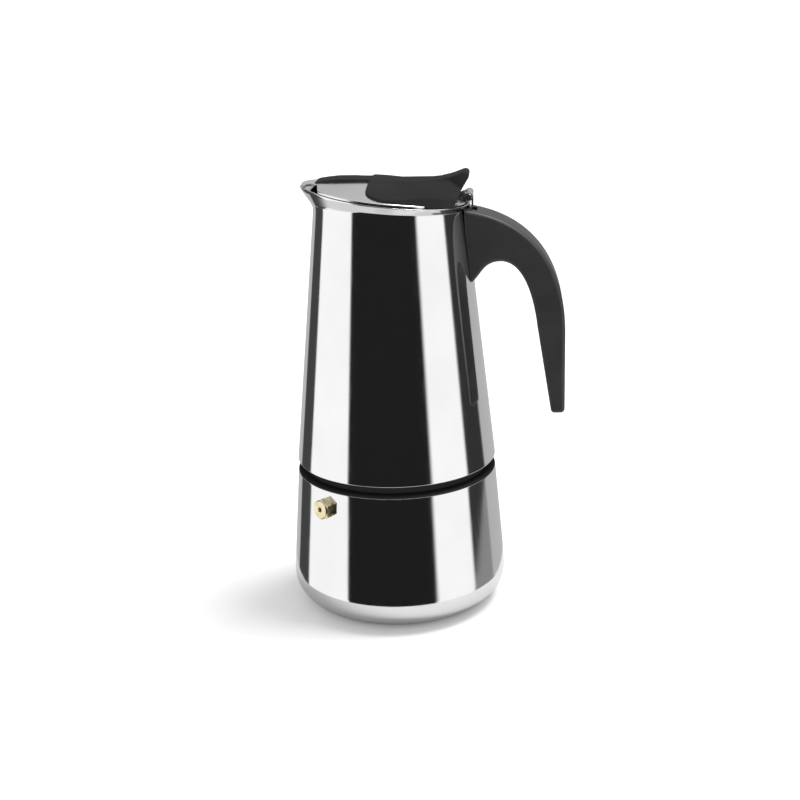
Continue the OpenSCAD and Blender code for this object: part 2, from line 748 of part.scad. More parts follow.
// Places children at each lid screw, on the lid's under side, +Z up through the lid
module lid_screw_places() {
    for (side = [-1, 1])
        translate([lid_screw_x, side * lid_screw_y, lid_under_z(lid_screw_x)]) rotate([0, lid_screw_lean, 0])
            children();
}

module lid_plate() {
    shares = [0.2, 0.35, 0.5, 0.65, 0.8, 0.92, 1];
    last = len(shares) - 1;
    inner = [for (share = shares) lid_ring(share, share * lid_t, dome_z(share, lid_t))];
    edge = [lid_ring(1, lid_t, lid_gap), lid_ring(1, 0, lid_gap)];
    outer = [for (i = [last:-1:0]) lid_ring(shares[i], 0, dome_z(shares[i], 0))];
    color(steel) difference() {
        at_mouth() difference() {
            ring_skin(concat(inner, edge, outer), false);
            for (side = [0, 1]) mirror([0, side, 0])
                translate([pour_hole_x, -pour_hole_inner, lid_gap]) rotate([90, 0, 0]) linear_extrude(lid_r)
                    polygon([[-pour_hole_half, -1], [-pour_hole_half, 0.2], [-0.5, pour_hole_h],
                             [0.5, pour_hole_h], [pour_hole_half, 0.2], [pour_hole_half, -1]]);
        }
        translate([lid_notch_x, -lid_notch_half, 0]) cube([2 * lid_r, 2 * lid_notch_half, 2 * rim_z]);
        leaf_space();
        lid_screw_places() translate([0, 0, -2]) cylinder(r = lid_screw_r + fit_gap, h = 4, $fn = 24);
    }
}

// Side outline of the rib and the thumb tab
module rib_outline() {
    peak_x = (rib_front_x + wing_front) / 2;
    polygon([[rib_front_x, lid_top_z(rib_front_x) - 4], [rib_front_x, rib_z - 1.3], [rib_front_x + 1.5, rib_z - 0.9],
             [rib_front_x + 6, rib_z - 0.3], [peak_x - 2, rib_z], [peak_x + 4, rib_z - 0.05],
             [wing_front, rib_z - 0.35], [wing_front + 4.3, rib_z - 0.85],
             [wing_front + 9, rib_low_z - 0.1], [wing_front + 12, rib_low_z + 0.05],
             [tab_tip_x - 18, rib_low_z], [tab_tip_x - 12.6, rib_low_z + 0.16 * tab_rise],
             [tab_tip_x - 7.4, rib_low_z + 0.48 * tab_rise], [tab_tip_x - 4.4, rib_low_z + 0.76 * tab_rise],
             [tab_tip_x - 2, tab_z], [tab_tip_x - 0.6, tab_z - 0.3], [tab_tip_x, tab_z - 1.2],
             [tab_tip_x, tab_z - 2.4], [lid_notch_x + 1, lid_top_z(lid_notch_x) - 1], [0, lid_top_z(0) - 6]]);
}

// Points of the wing's outline from above: a circle with a straight, round-cornered front
function wing_points() =
    let (corner = 10, corner_x = wing_front + corner,
         half = sqrt(pow(wing_r - corner, 2) - pow(corner_x - wing_back, 2)),
         meet = atan2(half, corner_x - wing_back), steps = 36)
    concat([for (i = [0:steps]) let (a = -meet + 2 * meet * i / steps)
                [wing_back + wing_r * cos(a), wing_r * sin(a)]],
           [for (i = [1:4]) let (a = meet + (180 - meet) * i / 4) [corner_x + corner * cos(a), half + corner * sin(a)]],
           [for (i = [0:3]) let (a = 180 + (180 - meet) * i / 4) [corner_x + corner * cos(a), corner * sin(a) - half]]);

// Solid under the wing's bevelled edge, a wide cone in the mouth's frame
module wing_cap() {
    low = -20;
    high = 15;
    translate([0, 0, low])
        cylinder(r1 = rim_r + (wing_edge - low) / wing_bevel, r2 = rim_r + (wing_edge - high) / wing_bevel,
                 h = high - low, $fn = skin_sides);
}

// The wing before the lid is cut away: a low roof over its outline
module wing_roof() {
    edge_z = rib_low_z - wing_fall;
    floor_z = rim_z - 8;
    intersection() {
        translate([0, 0, floor_z + 1]) linear_extrude(20) polygon(wing_points());
        union() {
            rotate([90, 0, 90]) linear_extrude(4 * rim_r, center = true)
                polygon([[-rib_half, rib_low_z], [rib_half, rib_low_z], [wing_r + 1, edge_z],
                         [wing_r + 1, floor_z], [-wing_r - 1, floor_z], [-wing_r - 1, edge_z]]);
            at_mouth() translate([0, 0, wing_t]) dome_solid(lid_r);
        }
        at_mouth() wing_cap();
    }
}

// Space behind the slanted back face, where the hinge turns
module hinge_space() {
    across(wing_r + 1) polygon([[lid_notch_x + 1, lid_top_z(lid_notch_x) - 1], [tab_tip_x, tab_z - 2.4],
                                    [tab_tip_x, tab_z + 4], [2 * rim_r, tab_z + 4],
                                    [2 * rim_r, rim_z - 12], [lid_notch_x - 3, rim_z - 12]]);
}

module lid_grip() {
    color(plastic) difference() {
        union() {
            across(rib_half) rib_outline();
            difference() {
                wing_roof();
                hinge_space();
            }
        }
        at_mouth() translate([-2 * rim_r, -2 * rim_r, -20]) cube([4 * rim_r, 4 * rim_r, 20 + lid_gap]);
        at_mouth() translate([0, 0, fit_gap]) dome_solid(lid_r + fit_gap);
        at_mouth() translate([0, 0, fit_gap]) intersection() {
            dome_solid(lid_nose);
            translate([-2 * rim_r, -rib_half - eps, -eps]) cube([2 * rim_r, 2 * (rib_half + eps), 10]);
        }
        leaf_space();
        lid_screw_places() translate([0, 0, -2]) cylinder(r = lid_screw_r, h = 5, $fn = 24);
    }
}

module lid_screws() {
    head_t = 1;
    leaf_drop = hinge_t + 0.85;
    color(steel) lid_screw_places() {
        translate([0, 0, -leaf_drop]) cylinder(r = lid_screw_r, h = leaf_drop + 2.8, $fn = 24);
        difference() {
            translate([0, 0, -leaf_drop - head_t]) cylinder(r1 = 2 * lid_screw_r - 0.4, r2 = 2 * lid_screw_r, h = head_t);
            for (turn = [0, 90]) rotate(turn) translate([-2, -0.2, -leaf_drop - head_t - eps]) cube([4, 0.4, 0.5]);
        }
    }
}

module lid_washers() {
    washer_t = 0.4;
    leaf_drop = hinge_t + 0.85;
    color(steel_dark) lid_screw_places() difference() {
        translate([0, 0, -leaf_drop]) cylinder(r = 2 * lid_screw_r + 0.3, h = washer_t);
        translate([0, 0, -leaf_drop - eps]) cylinder(r = lid_screw_r + fit_gap, h = washer_t + 2 * eps, $fn = 24);
    }
}

boiler();
boiler_collar();
valve_body();
valve_washer();
valve_nut();
valve_pin();
valve_spring();
valve_ring();
funnel_basket();
funnel_stem();
funnel_strainer();
gasket();
filter_plate();
jug_body();
jug_floor();
threaded_ring();
column();
column_cap();
handle_bracket();
handle_grip();
handle_screw();
hinge_bracket();
hinge_pin();
hinge_leaf();
lid_plate();
lid_grip();
lid_screws();
lid_washers();
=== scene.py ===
"""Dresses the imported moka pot: polished steel shells, moulded black grips, brass valve, stage and camera."""

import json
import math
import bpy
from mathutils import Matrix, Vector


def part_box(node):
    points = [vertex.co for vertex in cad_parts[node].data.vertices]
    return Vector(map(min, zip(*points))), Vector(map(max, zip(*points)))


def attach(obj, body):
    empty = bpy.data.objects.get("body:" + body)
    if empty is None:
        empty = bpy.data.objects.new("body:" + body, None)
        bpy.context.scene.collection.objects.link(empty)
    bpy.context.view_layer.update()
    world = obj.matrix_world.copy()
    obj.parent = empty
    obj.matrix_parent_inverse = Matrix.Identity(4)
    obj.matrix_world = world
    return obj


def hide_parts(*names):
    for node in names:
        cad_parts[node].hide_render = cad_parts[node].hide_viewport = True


bl_info = {
    "name": "Moka Pot",
    "version": (1, 0, 0),
    "blender": (4, 5, 0),
    "location": "3D View > Sidebar > Moka Pot",
    "description": "Builds the finished surfaces of a stove-top moka pot over its packed parts",
    "category": "Object",
}

import bmesh
import bpy
from mathutils import Matrix, Vector

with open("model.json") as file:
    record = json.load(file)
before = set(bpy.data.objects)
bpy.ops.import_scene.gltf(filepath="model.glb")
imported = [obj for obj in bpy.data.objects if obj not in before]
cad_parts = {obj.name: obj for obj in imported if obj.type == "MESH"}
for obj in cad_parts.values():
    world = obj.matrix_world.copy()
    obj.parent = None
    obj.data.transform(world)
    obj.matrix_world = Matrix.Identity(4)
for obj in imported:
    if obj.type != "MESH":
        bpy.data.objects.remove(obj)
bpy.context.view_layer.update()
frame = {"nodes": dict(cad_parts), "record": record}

MM = 0.001
TURN_STEPS = 240
SHARP_ANGLE = math.radians(32)
SLICE_MERGE = 0.0001


def high(node):
    """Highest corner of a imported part, in metres."""
    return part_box(node)[1]


def low(node):
    """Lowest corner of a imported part, in metres."""
    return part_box(node)[0]


# ---- Sizes and finishes that a user would change ----


def length(name, description, default):
    return bpy.props.FloatProperty(
        name=name, description=description, default=default, unit="LENGTH", precision=5, min=0.0
    )


def colour(name, description, default):
    return bpy.props.FloatVectorProperty(
        name=name, description=description, default=default, subtype="COLOR", size=3, min=0.0, max=1.0
    )


def share(name, description, default):
    return bpy.props.FloatProperty(
        name=name, description=description, default=default, subtype="FACTOR", min=0.0, max=1.0
    )


class PotSizes(bpy.types.PropertyGroup):
    base_radius: length("Boiler radius", "Radius of the boiler at its foot", high("boiler").x)
    foot_rounding: length("Foot rounding", "Length of the rounding at the boiler's foot", 15.7 * MM)
    shoulder_radius: length("Shoulder radius", "Radius of the boiler at its shoulder", 45.7 * MM)
    shoulder_height: length("Shoulder height", "Height of the boiler's shoulder", high("boiler").z)
    jug_foot_radius: length("Jug foot radius", "Radius of the jug at its lower lip", 45.9 * MM)
    jug_foot_height: length("Jug foot height", "Height of the jug's lower lip", 69.4 * MM)
    groove_radius: length("Groove radius", "Radius of the groove between boiler and jug", 42.6 * MM)
    jug_neck_radius: length("Jug neck radius", "Radius of the jug under its rim", 33.5 * MM)
    rim_radius: length("Rim radius", "Outer radius of the flared rim", 35.65 * MM)
    rim_height: length("Rim height", "Height of the rim at the pot's axis", 190.7 * MM)
    flare_height: length("Flare height", "Height of the flared part of the rim", 3.3 * MM)
    lip_reach: length("Pouring lip", "Reach of the pouring lip", 39.8 * MM)
    lid_radius: length("Lid radius", "Outer radius of the lid", 35.0 * MM)
    lid_nose: length("Lid nose", "Reach of the lid over the pouring lip", 39.0 * MM)
    rib_half: length("Rib half width", "Half width of the raised rib of the lid grip", 6.7 * MM)
    wing_radius: length("Wing radius", "Radius of the lid grip's wing", high("lid_grip").y)
    grip_half: length("Grip half width", "Half width of the handle grip", high("handle_grip").y)
    mouth_slope: bpy.props.FloatProperty(
        name="Mouth slope", description="Slope of the mouth, down towards the handle",
        default=math.radians(6.5), unit="ROTATION",
    )


class PotFinishes(bpy.types.PropertyGroup):
    steel: colour("Steel", "Colour of the polished steel", (0.86, 0.86, 0.87))
    pressed: colour("Pressed steel", "Colour of the pressed inner parts", (0.66, 0.66, 0.67))
    brass: colour("Brass", "Colour of the safety valve", (0.9, 0.8, 0.52))
    plastic: colour("Plastic", "Colour of the moulded grips", (0.030, 0.030, 0.031))
    silicone: colour("Silicone", "Colour of the seals", (0.72, 0.70, 0.64))
    polish: share("Polish", "Roughness of the polished steel", 0.07)
    grain: share("Grain", "Roughness of the moulded plastic", 0.45)


# ---- Finishes ----


def finish_nodes(name):
    """A new material with its node tree and its main shader."""
    material = bpy.data.materials.new("pot_" + name)
    material.use_nodes = True
    tree = material.node_tree
    return material, tree, tree.nodes["Principled BSDF"]


def add(tree, kind, inputs=None, **settings):
    """A node with its settings, its plain inputs by name or number, and its links."""
    node = tree.nodes.new(kind)
    for name, value in settings.items():
        setattr(node, name, value)
    for key, value in (inputs or {}).items():
        if isinstance(value, bpy.types.NodeSocket):
            tree.links.new(value, node.inputs[key])
        else:
            node.inputs[key].default_value = value
    return node


def object_noise(tree, scale, stretch=(1, 1, 1), detail=3.0, roughness=0.5):
    """Noise in the object's own space, finer along the axes with a larger stretch."""
    place = add(tree, "ShaderNodeTexCoord")
    mapping = add(tree, "ShaderNodeMapping", {"Vector": place.outputs["Object"], "Scale": stretch})
    return add(
        tree, "ShaderNodeTexNoise",
        {"Vector": mapping.outputs["Vector"], "Scale": scale, "Detail": detail, "Roughness": roughness},
    ).outputs["Fac"]


def spread(tree, value, low_value, high_value, start=0.3, end=0.7):
    """Maps a noise value from its usual range to another."""
    return add(
        tree, "ShaderNodeMapRange",
        {"Value": value, "From Min": start, "From Max": end, "To Min": low_value, "To Max": high_value},
    ).outputs["Result"]


def blend_colours(tree, factor, first, second):
    mix = add(tree, "ShaderNodeMix", {"Factor": factor}, data_type="RGBA")
    mix.inputs["A"].default_value = (*first, 1)
    mix.inputs["B"].default_value = (*second, 1)
    return mix.outputs["Result"]


def bump(tree, shader, height, strength, distance):
    normal = add(tree, "ShaderNodeBump", {"Height": height, "Strength": strength, "Distance": distance})
    tree.links.new(normal.outputs["Normal"], shader.inputs["Normal"])


def tinted(colour_value, factor):
    return tuple(min(1.0, c * factor) for c in colour_value)


def polished_steel(finishes):
    """Mirror polish with faint upright polishing streaks and a little haze, and painted shade in the groove
    between boiler and jug.
    """
    material, tree, shader = finish_nodes("polished_steel")
    streaks = object_noise(tree, 1.0, (900, 900, 18), 2.0)
    haze = object_noise(tree, 45.0, detail=2.0)
    total = add(tree, "ShaderNodeMath", {0: spread(tree, streaks, -0.015, 0.02), 1: spread(tree, haze, 0, 0.02)})
    roughness = add(tree, "ShaderNodeMath", {0: total.outputs[0], 1: finishes.polish})
    tree.links.new(roughness.outputs[0], shader.inputs["Roughness"])
    tint = blend_colours(tree, spread(tree, haze, 0, 1), tuple(finishes.steel), tinted(finishes.steel, 0.95))
    # Painted shade: the steel in the groove between boiler and jug is darkened and made non-metal where shade
    # falls
    groove = groove_shade_mask(tree)
    groove_shaded = add(tree, "ShaderNodeMix", {"Factor": groove}, data_type="RGBA")
    tree.links.new(tint, groove_shaded.inputs["A"])
    groove_shaded.inputs["B"].default_value = (*tinted(finishes.steel, GROOVE_SHADE_TONE), 1)
    tree.links.new(groove_shaded.outputs["Result"], shader.inputs["Base Color"])
    outside_shade = add(tree, "ShaderNodeMath", {0: 1.0, 1: groove}, operation="SUBTRACT").outputs[0]
    tree.links.new(outside_shade, shader.inputs["Metallic"])
    shader.inputs["Specular IOR Level"].default_value = 0.0
    bump(tree, shader, streaks, 0.04, 0.00002)
    return material


# The painted shade in the groove between boiler and jug: its brightness, the space that it fills, and how softly
# it ends
GROOVE_SHADE_TONE = 0.03
GROOVE_FLOOR, GROOVE_ROOF, GROOVE_MOUTH = 63.6 * MM, 69.2 * MM, 45.95 * MM
GROOVE_FADE, GROOVE_MOUTH_FADE = 0.2 * MM, 0.1 * MM


def groove_shade_mask(tree):
    """1 in the groove between boiler and jug, where shade is painted, and 0 outside it."""
    place = add(tree, "ShaderNodeTexCoord").outputs["Object"]
    parts = add(tree, "ShaderNodeSeparateXYZ", {"Vector": place}).outputs
    flat = add(tree, "ShaderNodeCombineXYZ", {"X": parts["X"], "Y": parts["Y"]}).outputs["Vector"]
    radius = add(tree, "ShaderNodeVectorMath", {0: flat}, operation="LENGTH").outputs["Value"]

    def step(value, start, end):
        return add(tree, "ShaderNodeMapRange", {"Value": value, "From Min": start, "From Max": end}).outputs[0]

    above = step(parts["Z"], GROOVE_FLOOR - GROOVE_FADE, GROOVE_FLOOR)
    below = step(parts["Z"], GROOVE_ROOF, GROOVE_ROOF - GROOVE_FADE)
    inside = step(radius, GROOVE_MOUTH, GROOVE_MOUTH - GROOVE_MOUTH_FADE)
    band = add(tree, "ShaderNodeMath", {0: above, 1: below}, operation="MULTIPLY").outputs[0]
    return add(tree, "ShaderNodeMath", {0: band, 1: inside}, operation="MULTIPLY").outputs[0]


def satin_steel(finishes):
    """Softer polish with fine lines along the lid."""
    material, tree, shader = finish_nodes("satin_steel")
    lines = object_noise(tree, 1.0, (30, 1500, 1500), 2.0)
    haze = object_noise(tree, 60.0, detail=2.0)
    tree.links.new(spread(tree, lines, 0.16, 0.26), shader.inputs["Roughness"])
    tint = blend_colours(tree, spread(tree, haze, 0, 1), tuple(finishes.steel), tinted(finishes.steel, 0.93))
    tree.links.new(tint, shader.inputs["Base Color"])
    shader.inputs["Metallic"].default_value = 1.0
    bump(tree, shader, lines, 0.08, 0.00003)
    return material


def pressed_steel(finishes):
    """Plain pressed sheet with a dull, slightly cloudy face."""
    material, tree, shader = finish_nodes("pressed_steel")
    cloud = object_noise(tree, 130.0, detail=4.0)
    grain = object_noise(tree, 2600.0, detail=1.0)
    tree.links.new(spread(tree, cloud, 0.24, 0.38), shader.inputs["Roughness"])
    tint = blend_colours(tree, spread(tree, cloud, 0, 1), tuple(finishes.pressed), tinted(finishes.pressed, 0.88))
    tree.links.new(tint, shader.inputs["Base Color"])
    shader.inputs["Metallic"].default_value = 1.0
    bump(tree, shader, grain, 0.06, 0.00003)
    return material


def spring_steel(finishes):
    """Bright drawn wire."""
    material, tree, shader = finish_nodes("spring_steel")
    marks = object_noise(tree, 3500.0, detail=2.0)
    tree.links.new(spread(tree, marks, 0.2, 0.34), shader.inputs["Roughness"])
    tint = blend_colours(
        tree, spread(tree, marks, 0, 1), tinted(finishes.pressed, 1.05), tinted(finishes.pressed, 0.8)
    )
    tree.links.new(tint, shader.inputs["Base Color"])
    shader.inputs["Metallic"].default_value = 1.0
    return material


def turned_brass(finishes):
    """Turned brass with tool marks and a thin darker tarnish."""
    material, tree, shader = finish_nodes("brass")
    tarnish = object_noise(tree, 420.0, detail=4.0)
    marks = object_noise(tree, 5200.0, detail=1.0)
    tint = blend_colours(
        tree, spread(tree, tarnish, 0, 1, 0.35, 0.75), tuple(finishes.brass), tinted(finishes.brass, 0.78)
    )
    tree.links.new(tint, shader.inputs["Base Color"])
    tree.links.new(spread(tree, tarnish, 0.2, 0.36), shader.inputs["Roughness"])
    shader.inputs["Metallic"].default_value = 1.0
    bump(tree, shader, marks, 0.1, 0.00004)
    return material


def moulded_plastic(finishes, name="black_plastic", gloss=0.5):
    """Black moulded plastic with a fine spark-eroded grain and faint handling sheen."""
    material, tree, shader = finish_nodes(name)
    grain = object_noise(tree, 2400.0, detail=2.0)
    sheen = object_noise(tree, 55.0, detail=3.0)
    tint = blend_colours(
        tree, spread(tree, sheen, 0, 1), tinted(finishes.plastic, 0.9), tinted(finishes.plastic, 1.15)
    )
    tree.links.new(tint, shader.inputs["Base Color"])
    roughness = add(tree, "ShaderNodeMath", {0: spread(tree, sheen, -0.05, 0.05), 1: finishes.grain})
    tree.links.new(roughness.outputs[0], shader.inputs["Roughness"])
    shader.inputs["Specular IOR Level"].default_value = gloss
    bump(tree, shader, grain, 0.16, 0.00005)
    return material


def moulded_silicone(finishes):
    """Off-white rubber, slightly translucent, with a dusty face."""
    material, tree, shader = finish_nodes("silicone")
    dust = object_noise(tree, 300.0, detail=4.0)
    tint = blend_colours(
        tree, spread(tree, dust, 0, 1), tuple(finishes.silicone), tinted(finishes.silicone, 0.86)
    )
    tree.links.new(tint, shader.inputs["Base Color"])
    tree.links.new(spread(tree, dust, 0.45, 0.62), shader.inputs["Roughness"])
    shader.inputs["Subsurface Weight"].default_value = 0.15
    shader.inputs["Subsurface Radius"].default_value = (0.002, 0.0018, 0.0015)
    bump(tree, shader, dust, 0.1, 0.00005)
    return material


FINISHES = {
    "polished_steel": polished_steel,
    "satin_steel": satin_steel,
    "pressed_steel": pressed_steel,
    "spring_steel": spring_steel,
    "brass": turned_brass,
    "black_plastic": moulded_plastic,
    "dull_plastic": lambda finishes: moulded_plastic(finishes, "dull_plastic", 0.002),
    "silicone": moulded_silicone,
}


def finish(name):
    """The finish of a material slot, made the first time it is asked for."""
    found = bpy.data.materials.get("pot_" + name)
    return found or FINISHES[name](bpy.context.scene.pot_finishes)


# ---- Mesh tools, all in millimetres in the pot's own frame ----


def draw_profile(bm, corners, closed=False, segments=8):
    """Draws corners (across, up, rounding) as a line in the XZ plane and rounds each corner."""
    verts = [bm.verts.new((x, 0, z)) for x, z, _ in corners]
    pairs = list(zip(verts, verts[1:]))
    if closed:
        pairs.append((verts[-1], verts[0]))
    for a, b in pairs:
        bm.edges.new((a, b))
    for vert, (_, _, rounding) in zip(verts, corners):
        if rounding:
            bmesh.ops.bevel(
                bm, geom=[vert], offset=rounding, offset_type="OFFSET", segments=segments,
                profile=0.5, affect="VERTICES", material=-1,
            )
    bmesh.ops.remove_doubles(bm, verts=bm.verts, dist=0.001)


def turn_profile(bm, steps=TURN_STEPS):
    """Turns everything drawn so far once round the pot's axis."""
    bmesh.ops.spin(
        bm, geom=bm.verts[:] + bm.edges[:], cent=(0, 0, 0), axis=(0, 0, 1), dvec=(0, 0, 0),
        angle=2 * math.pi, steps=steps, use_merge=True, use_duplicate=False,
    )
    bmesh.ops.remove_doubles(bm, verts=bm.verts, dist=0.001)
    bmesh.ops.recalc_face_normals(bm, faces=bm.faces)


def extrude_outline(bm, points, depth):
    """A flat outline (across, up) extruded to both sides of the pot's middle plane."""
    verts = [bm.verts.new((x, -depth / 2, z)) for x, z in points]
    face = bm.faces.new(verts)
    made = bmesh.ops.extrude_face_region(bm, geom=[face])
    moved = [v for v in made["geom"] if isinstance(v, bmesh.types.BMVert)]
    bmesh.ops.translate(bm, vec=(0, depth, 0), verts=moved)
    bmesh.ops.recalc_face_normals(bm, faces=bm.faces)


def outline_edges(bm, depth):
    """The edges round both flat sides of an extruded outline."""
    return [e for e in bm.edges if all(abs(abs(v.co.y) - depth / 2) < 0.001 for v in e.verts)
            and e.verts[0].co.y * e.verts[1].co.y > 0]


def cubic(p, steps):
    """Points of a cubic curve through its control points."""
    made = []
    for i in range(steps + 1):
        t = i / steps
        w = ((1 - t) ** 3, 3 * (1 - t) ** 2 * t, 3 * (1 - t) * t * t, t ** 3)
        made.append(tuple(sum(k * q[axis] for k, q in zip(w, p)) for axis in (0, 1)))
    return made


def shade(bm):
    """Shades a mesh smooth except along its sharp edges."""
    for face in bm.faces:
        face.smooth = True
    for edge in bm.edges:
        edge.smooth = len(edge.link_faces) == 2 and edge.calc_face_angle(0) < SHARP_ANGLE


def make_piece(bm, name, material):
    """Turns a bmesh in millimetres into a shaded object in metres at the origin."""
    bmesh.ops.scale(bm, vec=(MM,) * 3, verts=bm.verts)
    shade(bm)
    mesh = bpy.data.meshes.new(name)
    bm.to_mesh(mesh)
    bm.free()
    piece = bpy.data.objects.new(name, mesh)
    bpy.context.scene.collection.objects.link(piece)
    mesh.materials.append(finish(material))
    return piece


def even_normals(piece):
    """Keeps the large faces true where they meet a rounding."""
    modifier = piece.modifiers.new("even_normals", "WEIGHTED_NORMAL")
    modifier.keep_sharp = True
    return piece


def settle(piece, body, slot_name, *nodes):
    """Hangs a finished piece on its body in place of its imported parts."""
    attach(piece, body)
    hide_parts(*nodes)
    return piece


def baked(piece):
    """Applies a piece's modifiers to its mesh."""
    bpy.context.view_layer.update()
    graph = bpy.context.evaluated_depsgraph_get()
    mesh = bpy.data.meshes.new_from_object(piece.evaluated_get(graph))
    piece.modifiers.clear()
    piece.data = mesh
    return piece


def cut(piece, cutters):
    """Takes each cutter's solid out of a piece, and deletes the cutters."""
    for cutter in cutters:
        modifier = piece.modifiers.new("cut", "BOOLEAN")
        modifier.operation = "DIFFERENCE"
        modifier.solver = "EXACT"
        modifier.object = cutter
    baked(piece)
    for cutter in cutters:
        bpy.data.objects.remove(cutter)
    return piece


def cutter_box(lowest, highest):
    """A plain block between two corners in millimetres, to be cut away."""
    bm = bmesh.new()
    bmesh.ops.create_cube(bm, size=1.0)
    size = Vector(highest) - Vector(lowest)
    bmesh.ops.scale(bm, vec=size, verts=bm.verts)
    bmesh.ops.translate(bm, vec=Vector(lowest) + size / 2, verts=bm.verts)
    return make_piece(bm, "cutter", "pressed_steel")


def cutter_cone(radius_low, radius_high, z_low, z_high, centre=(0, 0), segments=TURN_STEPS):
    """A plain cone or cylinder in millimetres, to be cut away."""
    bm = bmesh.new()
    bmesh.ops.create_cone(
        bm, cap_ends=True, segments=segments, radius1=radius_low, radius2=radius_high, depth=z_high - z_low
    )
    bmesh.ops.translate(bm, vec=(*centre, (z_low + z_high) / 2), verts=bm.verts)
    return make_piece(bm, "cutter", "pressed_steel")


def reshade(piece):
    """Marks the sharp edges of a piece again after it was cut."""
    bm = bmesh.new()
    bm.from_mesh(piece.data)
    bmesh.ops.remove_doubles(bm, verts=bm.verts, dist=0.000001)
    shade(bm)
    bm.to_mesh(piece.data)
    bm.free()
    return piece


def slice_faces(bm, faces, point, normal):
    """Cuts some faces of a mesh along a plane."""
    geom = list({g for f in faces for g in (f, *f.edges, *f.verts)})
    bmesh.ops.bisect_plane(bm, geom=geom, dist=SLICE_MERGE, plane_co=point, plane_no=normal)


def mm_sizes():
    """The pot's sizes in millimetres, and its angles in radians."""
    sizes = bpy.context.scene.pot_sizes
    made = {key: getattr(sizes, key) / MM for key in PotSizes.__annotations__ if key != "mouth_slope"}
    made["mouth_slope"] = sizes.mouth_slope
    return made


def lip_share(turn):
    """How far a pouring lip is drawn out at an angle in degrees: 1 at the spout, 0 past its sides."""
    off = abs((turn % 360) - 180)
    return math.cos(math.radians(off * 90 / LIP_HALF)) ** 4 if off < LIP_HALF else 0.0


# Boiler: height where its side has the base radius, radius of its mouth, wall, and rise of its underside
BASE_RADIUS_Z, BOILER_MOUTH, BOILER_WALL, UNDERSIDE_RISE = 14.5, 33, 1.0, 0.5
# Jug: half angle and depth of the lip, wall, radius of its bore, and gap over the boiler's shoulder
LIP_HALF = 48
LIP_DEPTH = 9.0
JUG_WALL, JUG_BORE, JUG_SEAT_GAP = 0.9, 38.65, 0.4
# Flare of the mouth: share of its height that slants out, and how much deeper it gets towards the spout
FLARE_SHARE, FLARE_SWING, SPOUT_DROP = 0.87, 0.9, 2.9
# Handle grip: how far its top lies under the rim and its root under its top, and its edge rounding
GRIP_DROP, GRIP_ROOT, GRIP_BEVEL = 6.7, 32.0, 2.6
# Lid: sheet, gap over the rim, height of its edge, and rise of its dome
LID_T, LID_GAP, LID_EDGE, LID_RISE = 0.8, 0.3, 1.0, 4.4
# Vents: place, half width, rise, least distance from the middle, and arch (shares of half width and rise)
VENT_X, VENT_HALF, VENT_RISE, VENT_START = 33.0, 4.1, 2.5, 7.0
VENT_ARCH = ((-1, -0.2), (-0.8, 0.55), (-0.4, 0.9), (0.1, 1), (0.55, 0.8), (0.85, 0.45), (1, -0.2))
# Hinge notch of the lid: where it starts, its half width, and the part of the lid around it
NOTCH_X, NOTCH_HALF, NOTCH_NEAR_X, NOTCH_NEAR_HALF = 29, 9.2, 22, 14
# Lid grip: sizes that shape its wing, its rib and its tab, and how finely it is moulded
WING_T, WING_FALL, WING_BACK, WING_CORNER, WING_FRONT = 0.9, 3.9, 3.4, 10.0, -8.0
WING_EDGE, WING_BEVEL, MOUTH_R = 4.2, 0.65, 36.0
RIB_DIP, TAB_RISE, LID_GRIP_DEPTH, HINGE_ROOM_X = 1.35, 3.7, 8, 30
MOULD_VOXEL, MOULD_SMOOTHINGS = 0.42, 6


# ---- Pieces ----


class POT_OT_boiler(bpy.types.Operator):
    """Turns the flared boiler with its rounded foot and its pressed underside"""

    bl_idname = "pot.boiler"
    bl_label = "Boiler"

    def execute(self, context):
        s = mm_sizes()
        lean = (s["base_radius"] - s["shoulder_radius"]) / (s["shoulder_height"] - BASE_RADIUS_Z)
        toe = s["base_radius"] + BASE_RADIUS_Z * lean
        flat = toe - s["foot_rounding"]
        top = s["shoulder_height"]
        bm = bmesh.new()
        draw_profile(bm, [
            (BOILER_MOUTH, top, 0),
            (s["shoulder_radius"] + 2 * lean, top, 1.3),
            (toe, 0, s["foot_rounding"]),
            (flat - 5, 0, 0.8), (flat - 6.5, UNDERSIDE_RISE, 0.8), (0, UNDERSIDE_RISE, 0),
        ], segments=14)
        side = [e for e in bm.edges if e.calc_length() > 30 and max(v.co.z for v in e.verts) > 50]
        bmesh.ops.subdivide_edges(bm, edges=side, cuts=5)
        turn_profile(bm)
        shell = make_piece(bm, "boiler_shell", "polished_steel")
        thick = shell.modifiers.new("wall", "SOLIDIFY")
        thick.thickness = BOILER_WALL * MM
        thick.offset = -1
        even_normals(shell)
        settle(shell, "lower_chamber", "polished_steel", "boiler")
        return {"FINISHED"}


